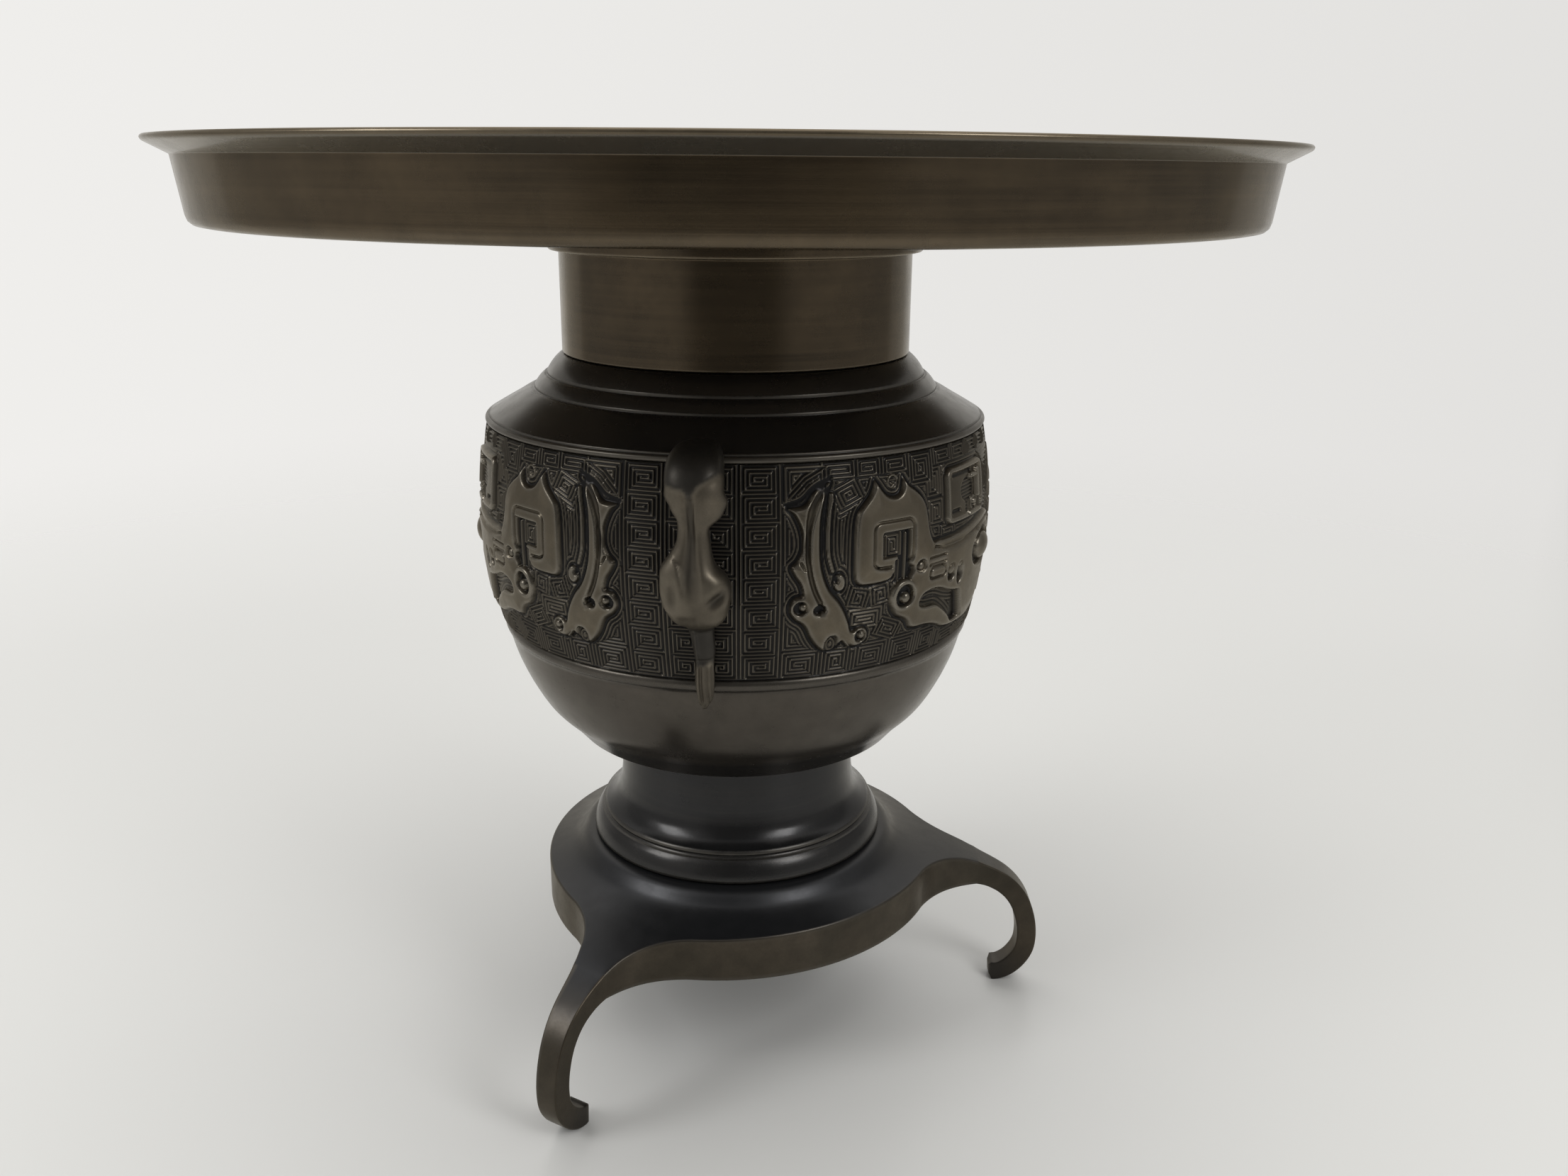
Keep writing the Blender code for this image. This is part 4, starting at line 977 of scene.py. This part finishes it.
FLANK_POINTS = 20
LOBE_POINTS = 32
ROOT_POINTS = 9
LEG_SHARE = 2 * FLANK_POINTS + ROOT_POINTS + LOBE_POINTS
LEG_RINGS = 66
EDGE_EASE = 0.7
UNDER_EASE = 0.7
TOP_RINGS = (0.0, 38.0, 45.0, 46.6, 47.6, 48.4, 49.2, 50.0, 50.8, 51.6, 52.4, 53.4, 54.6, 56.0)


def plan(turn, distance, across):
    """Points (x, y) at a distance out along a turn in degrees and a distance across it."""
    return placed(np.radians(turn), distance, across, 0.0)[..., :2]


def stand_outline():
    """The plate's outline once round, and whether each of its points lies on a leg's root.

    Each leg has a flank, a square root and the other flank, and between two legs is a lobe, an arc whose ends
    draw in by the square of the way to them.
    """
    start = LOBE_R - 1.7
    distance = start + (ROOT_R - start) * np.linspace(0.0, 1.0, FLANK_POINTS) ** 1.4
    width = half_width(distance)
    flank_turn = math.degrees(math.atan2(width[0], distance[0]))
    share = np.linspace(-1.0, 1.0, LOBE_POINTS + 2)[1:-1]
    lobe_turn = (60.0 - flank_turn) * share
    lobe_r = LOBE_R + (math.hypot(width[0], distance[0]) - LOBE_R) * share**2
    last = half_width(ROOT_R) - EDGE_EASE
    points = []
    for leg in LEG_TURNS:
        points.append(plan(leg, distance, -width))
        points.append(plan(leg, ROOT_R, np.linspace(-last, last, ROOT_POINTS)))
        points.append(plan(leg, distance[::-1], width[::-1]))
        points.append(plan(leg + 60.0 + lobe_turn, lobe_r, 0.0))
    roots = np.zeros((len(LEG_TURNS), LEG_SHARE), bool)
    roots[:, FLANK_POINTS : FLANK_POINTS + ROOT_POINTS] = True
    return np.concatenate(points), roots.ravel()


def outline_normals(outline, roots):
    """The outline's outward normals: across its neighbours on flanks and lobes, and none on the roots.

    The last point of a flank, beside a root, faces across its leg.
    """
    normals = np.zeros_like(outline)
    ring = outline[~roots]
    normals[~roots] = crosswise(np.roll(ring, -1, 0) - np.roll(ring, 1, 0))
    for k, leg in enumerate(LEG_TURNS):
        first = k * LEG_SHARE + FLANK_POINTS - 1
        normals[first] = plan(leg, 0.0, -1.0)
        normals[first + ROOT_POINTS + 1] = plan(leg, 0.0, 1.0)
    normals[np.sum(normals * outline, axis=1) < 0] *= -1.0
    return normals


def make_stand():
    """The three-lobed plate and its strap legs, as one closed surface.

    The plate is a stack of rings: its upper face is the outline drawn towards the axis, its edge is the
    outline moved along its normal and down a quarter round, and its underside runs to a round recess. A leg
    is a strap with round edges along its middle line, whose first ring is the plate's cut at the leg's root.
    """
    outline, roots = stand_outline()
    normals = outline_normals(outline, roots)
    rows, values = [], []

    def add_ring(points, z, tone, rub_and_sheen=0.0):
        rows.append(np.column_stack([points, np.broadcast_to(z, len(points))]))
        values.append((tone, rub_and_sheen))

    top_edge = outline - normals * EDGE_EASE
    away = unit(top_edge)
    circle = away * TOP_RINGS[-1]
    stretched = [circle + (top_edge - circle) * t for t in np.linspace(0.0, 1.0, 12)[1:]]
    for points in [away * r for r in TOP_RINGS] + stretched:
        add_ring(points, plate_top(length(points)), 0.0)
    top_rows = len(rows)
    base = plate_top(length(top_edge))
    edge_z = plate_top(length(outline)) - EDGE_EASE
    # The rounds of the plate's edge are rubbed: worn metal with a painted highlight.
    for t in np.linspace(0.0, math.pi / 2, 6)[1:]:
        points = outline - normals * EDGE_EASE * (1 - math.sin(t))
        add_ring(points, base + (edge_z - base) * (1 - math.cos(t)), math.sin(t) ** 2, 0.2)
    low_z = EDGE_UNDER_Z + UNDER_EASE
    for share in (0.08, 0.5, 0.92):
        add_ring(outline, edge_z * (1 - share) + low_z * share, 1.0)
    for t in np.linspace(0.0, math.pi / 2, 5):
        points = outline - normals * UNDER_EASE * (1 - math.cos(t))
        add_ring(points, low_z - UNDER_EASE * math.sin(t), 1.0, 0.6)
    wall_rows = len(rows) - 1
    under = outline - normals * UNDER_EASE
    recess = unit(under) * RECESS_R
    for share in (0.5, 1.0):
        add_ring(under + (recess - under) * share, EDGE_UNDER_Z, 0.6)
    roof = plate_top(RECESS_R) - PLATE_T
    middle = PLATE_TOP_Z - PLATE_T
    low = EDGE_UNDER_Z + 1.5
    for share, z in ((1.0, low), (1.0, roof - 1.5), (0.97, roof), (0.6, middle), (0.0, middle)):
        add_ring(recess * share, z, 0.4)
    count = len(outline)
    quads = grid_faces(len(rows), count, wrap_columns=True)
    row, column = np.divmod(quads[:, 0], count)
    in_wall = (row >= top_rows - 1) & (row < wall_rows)
    quads = quads[~(in_wall & (roots | np.roll(roots, -1))[column])]
    plate = (np.concatenate(rows), quads, *np.repeat(values, count, axis=0).T)
    edge = np.array(rows[top_rows - 1 : wall_rows + 1])
    return weld("tripod_stand", [plate] + [make_leg(edge, leg) for leg in range(len(LEG_TURNS))])


def make_leg(edge, leg):
    """One strap leg: the ring of points at the plate's root, carried along the leg's middle line.

    edge holds the rings of the plate's edge, from its upper face down. A ring point keeps its place across.
    Its depth below the upper face goes from the plate's to the strap's as an exponential, and the toe's last
    rings draw together to round its end.
    """
    first = leg * LEG_SHARE + FLANK_POINTS - 1
    last = first + ROOT_POINTS + 1
    top, right = edge[0, first : last + 1], edge[1:, last]
    bottom, left = edge[-1, first:last][::-1], edge[1:-1, first][::-1]
    ring = np.concatenate([top, right, bottom, left])
    sides = len(ring)
    turn = math.radians(LEG_TURNS[leg])
    across = ring[:, 0] * math.cos(turn) + ring[:, 1] * math.sin(turn)
    root_z = plate_top(math.hypot(ROOT_R, STRAP_W / 2))
    root_t = root_z - EDGE_UNDER_Z
    path = leg_line((root_z + EDGE_UNDER_Z) / 2)
    gone = travel(path)[:, None]
    turned_in = smooth_step(gone / 14.0)
    up = unit((0.0, 1.0) * (1.0 - turned_in) - crosswise(np.gradient(path, axis=0)) * turned_in)
    thick = STRAP_T + (root_t - STRAP_T) * np.exp(-gone / 6.0)
    end = np.clip((gone[-1] - gone) / 1.2, 0.0, 1.0)
    shrink = 0.55 + 0.45 * np.sqrt(1.0 - (1.0 - end) ** 2)
    width = half_width(ROOT_R + gone) / half_width(ROOT_R) * shrink
    lift = (0.5 - (root_z - ring[:, 2]) / root_t) * thick * shrink
    z = np.maximum(path[:, 1:] + up[:, 1:] * lift, 0.0)
    points = placed(turn, path[:, :1] + up[:, :1] * lift, across * width, z)
    points[0] = ring
    cap = np.arange(sides) + (LEG_RINGS - 1) * sides
    tip = np.full(sides, LEG_RINGS * sides)
    fan = np.stack([cap, np.roll(cap, -1), tip, tip], axis=1)
    quads = np.concatenate([grid_faces(LEG_RINGS, sides, wrap_columns=True), fan])
    on_side = np.zeros(sides)
    on_side[len(top) - 1 : len(top) + len(right) + 1] = 1.0
    on_side[-len(left) - 1 :] = 1.0
    tone = np.maximum(on_side, smooth_step(gone / 26.0)) * (1.0 - 0.55 * smooth_step((gone - 36.0) / 16.0))
    rub_and_sheen = np.zeros((LEG_RINGS, sides))
    # The leg's top edges are rubbed: worn metal with a painted highlight.
    rub_and_sheen[:, [0, len(top) - 1]] = 0.8
    points = np.concatenate([points.reshape(-1, 3), [points[-1].mean(axis=0)]])
    return points, quads, np.append(tone, 0.5), np.append(rub_and_sheen, 0.3)


def weld(name, parts):
    """One piece from several surfaces (points, quads, tone, rub_and_sheen): points at the same place become
    one.

    A quad that loses one corner by that becomes a triangle.
    """
    starts = np.cumsum([0] + [len(part[0]) for part in parts])
    quads = np.concatenate([part[1] + start for part, start in zip(parts, starts)])
    points, tone, rub_and_sheen = (np.concatenate([part[k] for part in parts]) for k in (0, 2, 3))
    _, picked, place = np.unique(np.round(points, 3), axis=0, return_index=True, return_inverse=True)
    quads = place.reshape(-1)[quads]
    same = quads == np.roll(quads, -1, axis=1)
    once = same.sum(axis=1) == 1
    triangles = quads[once][~same[once]].reshape(-1, 3)
    triangles = triangles[(triangles != np.roll(triangles, 1, axis=1)).all(axis=1)]
    values = {"tone": tone[picked], "rub_and_sheen": rub_and_sheen[picked]}
    return add_piece(name, points[picked], quads[~same.any(axis=1)], values, triangles)


# Finishes


class Shading:
    """A tree of shader nodes, and what is added to it."""

    def __init__(self, tree):
        self.tree = tree

    def fill(self, made, inputs):
        """Fills a node's inputs: a socket is linked, and any other value is set."""
        for key, value in inputs.items():
            if isinstance(value, bpy.types.NodeSocket):
                self.tree.links.new(value, made.inputs[key])
            else:
                made.inputs[key].default_value = value

    def add(self, kind, inputs=None, **settings):
        """The outputs of a new node with its settings and inputs."""
        made = self.tree.nodes.new(kind)
        for key, value in settings.items():
            setattr(made, key, value)
        self.fill(made, inputs or {})
        return made.outputs

    def sum(self, operation, a, b=0.0, clamp=False):
        """The result of a sum on numbers or sockets."""
        return self.add("ShaderNodeMath", {0: a, 1: b}, operation=operation, use_clamp=clamp)[0]

    def plus(self, a, b, clamp=False):
        return self.sum("ADD", a, b, clamp)

    def minus(self, a, b, clamp=False):
        return self.sum("SUBTRACT", a, b, clamp)

    def times(self, a, b, clamp=False):
        return self.sum("MULTIPLY", a, b, clamp)

    def place(self):
        """Where a point lies on its object."""
        return self.add("ShaderNodeTexCoord")["Object"]

    def noise(self, where, scale, detail=3.0, roughness=0.5):
        """A noise from 0 to 1."""
        inputs = {"Vector": where, "Scale": scale, "Detail": detail, "Roughness": roughness}
        return self.add("ShaderNodeTexNoise", inputs)["Fac"]

    def smooth_range(self, value, low, high):
        """A number from 0 at low to 1 at high, over an even S curve."""
        inputs = {0: value, 1: low, 2: high}
        return self.add("ShaderNodeMapRange", inputs, interpolation_type="SMOOTHSTEP")[0]

    def mix(self, factor, a, b):
        """A colour between two colours or sockets."""
        a, b = (c if isinstance(c, bpy.types.NodeSocket) else (*c, 1.0) for c in (a, b))
        return self.add("ShaderNodeMix", {0: factor, 6: a, 7: b}, data_type="RGBA")[2]

    def group(self, tree, **inputs):
        """The result of a shared group with its inputs filled."""
        return self.add("ShaderNodeGroup", inputs, node_tree=tree)[0]


def new_group(name, **inputs):
    """What adds nodes to a new group with named number inputs and their usual values, and those inputs."""
    tree = bpy.data.node_groups.new(name, "ShaderNodeTree")
    for label, value in inputs.items():
        socket = tree.interface.new_socket(name=label, in_out="INPUT", socket_type="NodeSocketFloat")
        socket.default_value = value
    return Shading(tree), tree.nodes.new("NodeGroupInput").outputs


def closed_group(s, label, value):
    """The finished group, which puts out one number under a name."""
    s.tree.interface.new_socket(name=label, in_out="OUTPUT", socket_type="NodeSocketFloat")
    s.add("NodeGroupOutput", {label: value})
    return s.tree


def make_clouds():
    """Patina clouds: broad soft patches with finer ones in them, spread over 0 to 1."""
    s, given = new_group("patina_clouds", Size=20.0, Fine=0.4, Spread=2.0)
    broad = s.noise(s.place(), given["Size"])
    fine = s.noise(s.place(), s.times(given["Size"], 6.0), 4.0)
    total = s.plus(s.minus(broad, 0.5), s.times(s.minus(fine, 0.5), given["Fine"]))
    return closed_group(s, "Mask", s.plus(s.times(total, given["Spread"]), 0.5, clamp=True))


def make_turning_lines():
    """Marks of the lathe: a noise of the distance from the axis and the height, hardly changing around."""
    s, given = new_group("turning_lines", Fineness=900.0, Drift=6.0)
    at = s.add("ShaderNodeSeparateXYZ", {0: s.place()})
    radius = s.sum("SQRT", s.plus(s.sum("POWER", at["X"], 2.0), s.sum("POWER", at["Y"], 2.0)))
    fast = s.times(s.plus(s.times(radius, 0.8), at["Z"]), given["Fineness"])
    slow = s.times(s.plus(at["X"], at["Y"]), given["Drift"])
    where = s.add("ShaderNodeCombineXYZ", {"X": fast, "Y": slow, "Z": 0.0})[0]
    return closed_group(s, "Mask", s.noise(where, 1.0, roughness=0.6))


def make_edge_rub_and_sheen():
    """Rubbed edges, worn metal with a painted highlight: where the surface stands out, broken up by a fine
    noise.
    """
    s, given = new_group("edge_rub_and_sheen", Rub=0.0, Size=260.0, Amount=1.0)
    uneven = s.times(given["Rub"], s.plus(s.noise(s.place(), given["Size"]), 0.35))
    return closed_group(s, "Mask", s.times(uneven, given["Amount"], clamp=True))


def make_cast_grain():
    """The skin of cast metal: fine grain with small pits."""
    s, given = new_group("cast_grain", Size=1500.0, Pits=0.4)
    grain = s.noise(s.place(), given["Size"])
    pit_size = s.times(given["Size"], 0.4)
    cells = s.add("ShaderNodeTexVoronoi", {"Vector": s.place(), "Scale": pit_size})
    pits = s.times(s.minus(0.16, cells["Distance"], clamp=True), given["Pits"])
    return closed_group(s, "Height", s.minus(grain, s.times(pits, 6.0)))


clouds = make_clouds()
turning_lines = make_turning_lines()
edge_rub_and_sheen = make_edge_rub_and_sheen()
cast_grain = make_cast_grain()


def new_material(name):
    """A new material, what adds nodes to it, and its main shader."""
    material = bpy.data.materials.new(name)
    material.use_nodes = True
    tree = material.node_tree
    return material, Shading(tree), tree.nodes["Principled BSDF"]


def bronze(name, black, brown, light, rubbed_sheen, rough, tint, cloud_size, lines=0.0, grain=0.3, wax=0.0):
    """A bronze patina. The tone attribute blends black to brown, clouds lighten it, and rubbed edges shine,
    as worn metal with a painted highlight.

    rough is the roughness of the plain patina and of the rubbed metal, and tint the colour of its glancing
    reflections. lines is how strongly the marks of the lathe show, as fine lines and as soft bands in the
    brown, grain how strongly the cast skin does, and wax how much of a thin polished wax lies on it.
    """
    material, s, shader = new_material(name)
    tone, rub_and_sheen = (s.add("ShaderNodeAttribute", attribute_name=label)["Fac"] for label in ("tone", "rub_and_sheen"))
    broad = s.group(clouds, Size=cloud_size, Fine=0.5, Spread=2.2)
    fine = s.group(clouds, Size=cloud_size * 7.0, Fine=0.6, Spread=2.0)
    marks = s.group(turning_lines, Fineness=1100.0, Drift=5.0)
    bands = s.group(turning_lines, Fineness=300.0, Drift=15.0)
    worn_and_sheen = s.group(edge_rub_and_sheen, Rub=rub_and_sheen, Amount=1.2)
    skin = s.group(cast_grain, Size=1400.0, Pits=0.5)
    banded = s.times(s.minus(bands, 0.36, clamp=True), 3.4, clamp=True)
    soft = s.add("ShaderNodeMix", {0: 0.5 * lines, 2: broad, 3: banded})[0]
    base = s.mix(tone, black, s.mix(soft, brown, light))
    base = s.mix(s.times(s.times(fine, tone), 0.3), base, tuple(0.5 * c for c in brown))
    if lines > 0.0:
        base = s.mix(s.times(s.minus(marks, 0.42, clamp=True), 1.6 * lines), base, light)
    plain = s.plus(rough[0] - 0.03, s.times(fine, 0.09))
    height = s.plus(s.times(skin, grain), s.times(marks, lines))
    s.fill(shader, {
        "Base Color": s.mix(worn_and_sheen, base, rubbed_sheen),
        "Roughness": s.plus(plain, s.times(worn_and_sheen, rough[1] - rough[0])),
        "Normal": s.add("ShaderNodeBump", {"Height": height, "Strength": 0.25, "Distance": 0.0002})["Normal"],
        "Metallic": 0.75,
        "Specular Tint": (*tint, 1.0),
        "Coat Weight": wax,
        "Coat Roughness": 0.07,
    })
    return material


dish_finish = bronze(
    "brown_bronze",
    (0.108, 0.104, 0.093), (0.039, 0.028, 0.016), (0.122, 0.088, 0.050), (0.13, 0.105, 0.070),
    (0.24, 0.30), (0.72, 0.67, 0.57), cloud_size=14.0, lines=0.6, wax=0.28,
)
body_finish = bronze(
    "black_bronze",
    (0.029, 0.029, 0.030), (0.066, 0.057, 0.047), (0.096, 0.085, 0.070), (0.100, 0.092, 0.078),
    (0.22, 0.42), (0.90, 0.88, 0.84), cloud_size=24.0, lines=0.2, grain=0.12,
)
band_finish = bronze(
    "relief_bronze",
    (0.012, 0.012, 0.013), (0.094, 0.081, 0.061), (0.132, 0.110, 0.078), (0.17, 0.154, 0.127),
    (0.32, 0.26), (0.80, 0.76, 0.68), cloud_size=40.0,
)
handle_finish = bronze(
    "handle_bronze",
    (0.038, 0.035, 0.031), (0.096, 0.083, 0.064), (0.128, 0.109, 0.083), (0.17, 0.149, 0.115),
    (0.42, 0.33), (0.85, 0.80, 0.70), cloud_size=45.0,
)
stand_finish = bronze(
    "stand_bronze",
    (0.033, 0.034, 0.037), (0.045, 0.0385, 0.0285), (0.074, 0.0605, 0.0445), (0.085, 0.077, 0.064),
    (0.33, 0.38), (0.86, 0.82, 0.74), cloud_size=30.0, grain=0.2,
)


# The pieces


def finish_piece(piece, material, node_name):
    """Gives the piece its finish, sets it under the root body, and hides the imported part it stands for."""
    piece.data.materials.append(material)
    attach(piece, "root")
    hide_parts(node_name)


finish_piece(make_dish(), dish_finish, "dish")
finish_piece(make_foot_and_bowl(), body_finish, "body")
finish_piece(make_shoulder(), body_finish, "body")
relief = relief_heights()
relief_rub_and_sheen = surface_rub_and_sheen(relief)
PLACES = (("front", HANDLE_TURN), ("back", HANDLE_TURN + 180.0))
for place, start in PLACES:
    for hand, side in (("left", -1.0), ("right", 1.0)):
        quarter = make_quarter(f"relief_{place}_{hand}", start, side, relief, relief_rub_and_sheen)
        finish_piece(quarter, band_finish, "body")
for place, turn in PLACES:
    handle = make_handle(f"beast_handle_{place}", turn)
    finish_piece(handle, handle_finish, f"handle_{place}")
finish_piece(make_stand(), stand_finish, "tripod_stand")


# Floor, light and camera


def make_floor():
    """A round pale floor that fades into the background far from the vase."""
    radius = np.array([0.3, 0.8, 2.0, 5.0])[:, None]
    turn = np.linspace(0.0, 2 * math.pi, 96, endpoint=False)
    rings = np.stack([radius * np.cos(turn), radius * np.sin(turn), 0.0 * radius * turn], axis=-1)
    mesh = bpy.data.meshes.new("floor")
    quads = grid_faces(4, 96, wrap_columns=True)
    mesh.from_pydata(rings.reshape(-1, 3).tolist(), [], quads.tolist() + [list(range(96))])
    material, s, shader = new_material("pale_floor")
    s.fill(shader, {"Base Color": (0.645, 0.645, 0.63, 1.0), "Roughness": 0.32, "Specular IOR Level": 0.35})
    away = s.add("ShaderNodeVectorMath", {0: s.place()}, operation="LENGTH")["Value"]
    clear = s.add("ShaderNodeBsdfTransparent")[0]
    fade = s.smooth_range(away, 0.25, 1.1)
    faded = s.add("ShaderNodeMixShader", {0: fade, 1: shader.outputs[0], 2: clear})[0]
    s.fill(s.tree.nodes["Material Output"], {"Surface": faded})
    mesh.materials.append(material)
    add_object("floor", mesh)


# Light of the room by turn from the camera's side (0) round to behind the vase (1)
ROOM_LIGHT = ((0.0, 0.12), (1.0, 0.88), (0.13, 0.14), (0.20, 0.46), (0.33, 0.52), (0.50, 0.46), (0.645, 0.32),
              (0.665, 0.56), (0.78, 0.60), (0.82, 0.88))


def make_world():
    """A pale room: bright behind the vase and above it, dim on the camera's side."""
    world = bpy.data.worlds.new("pale_room")
    world.use_nodes = True
    world.node_tree.nodes.clear()
    s = Shading(world.node_tree)
    direction = s.add("ShaderNodeTexCoord")["Generated"]
    at = s.add("ShaderNodeSeparateXYZ", {0: direction})
    turn = s.sum("ABSOLUTE", s.sum("ARCTAN2", at["X"], s.times(at["Y"], -1.0)))
    ramp = s.add("ShaderNodeValToRGB", {0: s.sum("DIVIDE", turn, math.pi)})[0]
    stops = ramp.node.color_ramp.elements
    for k, (place, level) in enumerate(ROOM_LIGHT):
        stop = stops[k] if k < 2 else stops.new(place)
        stop.position = place
        stop.color = (level, 0.988 * level, 0.964 * level, 1.0)
    side = s.add("ShaderNodeMapRange", {0: at["X"], 1: -0.6, 2: 0.6, 3: 1.0, 4: 0.86})[0]
    around = s.add("ShaderNodeVectorMath", {0: ramp, 3: side}, operation="SCALE")[0]
    upwards = s.add("ShaderNodeVectorMath", {0: direction, 1: (0.0, 0.20, 0.98)}, operation="DOT_PRODUCT")
    colour = s.mix(s.smooth_range(upwards["Value"], 0.6, 0.97), around, (1.85, 1.83, 1.79))
    background = s.add("ShaderNodeBackground", {"Color": colour, "Strength": 1.0})[0]
    s.add("ShaderNodeOutputWorld", {"Surface": background})
    bpy.context.scene.world = world


def add_window(name, turn):
    """A soft area light that faces the vase from a turn, 1.4 m away and 34 degrees above the floor."""
    data = bpy.data.lights.new(name, "AREA")
    data.shape = "RECTANGLE"
    data.size, data.size_y = 0.46, 0.60
    data.energy = 5.6
    a, e = math.radians(turn), math.radians(34.0)
    away = Vector((math.sin(a) * math.cos(e), -math.cos(a) * math.cos(e), math.sin(e)))
    obj = add_object(name, data)
    obj.location = away * 1.4 + Vector((0.0, 0.0, 0.1))
    obj.rotation_mode = "QUATERNION"
    obj.rotation_quaternion = away.to_track_quat("Z", "Y")


def make_camera():
    """The camera: its pitch, yaw and roll turn the axes right, up and back."""
    yaw, pitch, roll = CAMERA_YAW, CAMERA_PITCH, CAMERA_ROLL
    level = Vector((math.cos(yaw), -math.sin(yaw), 0.0))
    ahead = Vector((math.sin(yaw) * math.cos(pitch), math.cos(yaw) * math.cos(pitch), -math.sin(pitch)))
    upright = Vector((math.sin(yaw) * math.sin(pitch), math.cos(yaw) * math.sin(pitch), math.cos(pitch)))
    right = level * math.cos(roll) + upright * math.sin(roll)
    up = upright * math.cos(roll) - level * math.sin(roll)
    data = bpy.data.cameras.new("camera")
    data.sensor_width = SENSOR_W
    data.lens = FOCAL_PX * SENSOR_W / IMAGE_W
    data.clip_start = 0.02
    obj = add_object("camera", data)
    obj.matrix_world = Matrix.Translation(CAMERA_PLACE) @ Matrix((right, up, -ahead)).transposed().to_4x4()
    bpy.context.scene.camera = obj


make_floor()
make_world()
add_window("window_left", -66.0)
add_window("window_right", 46.0)
make_camera()
bpy.context.scene.view_settings.view_transform = "Standard"
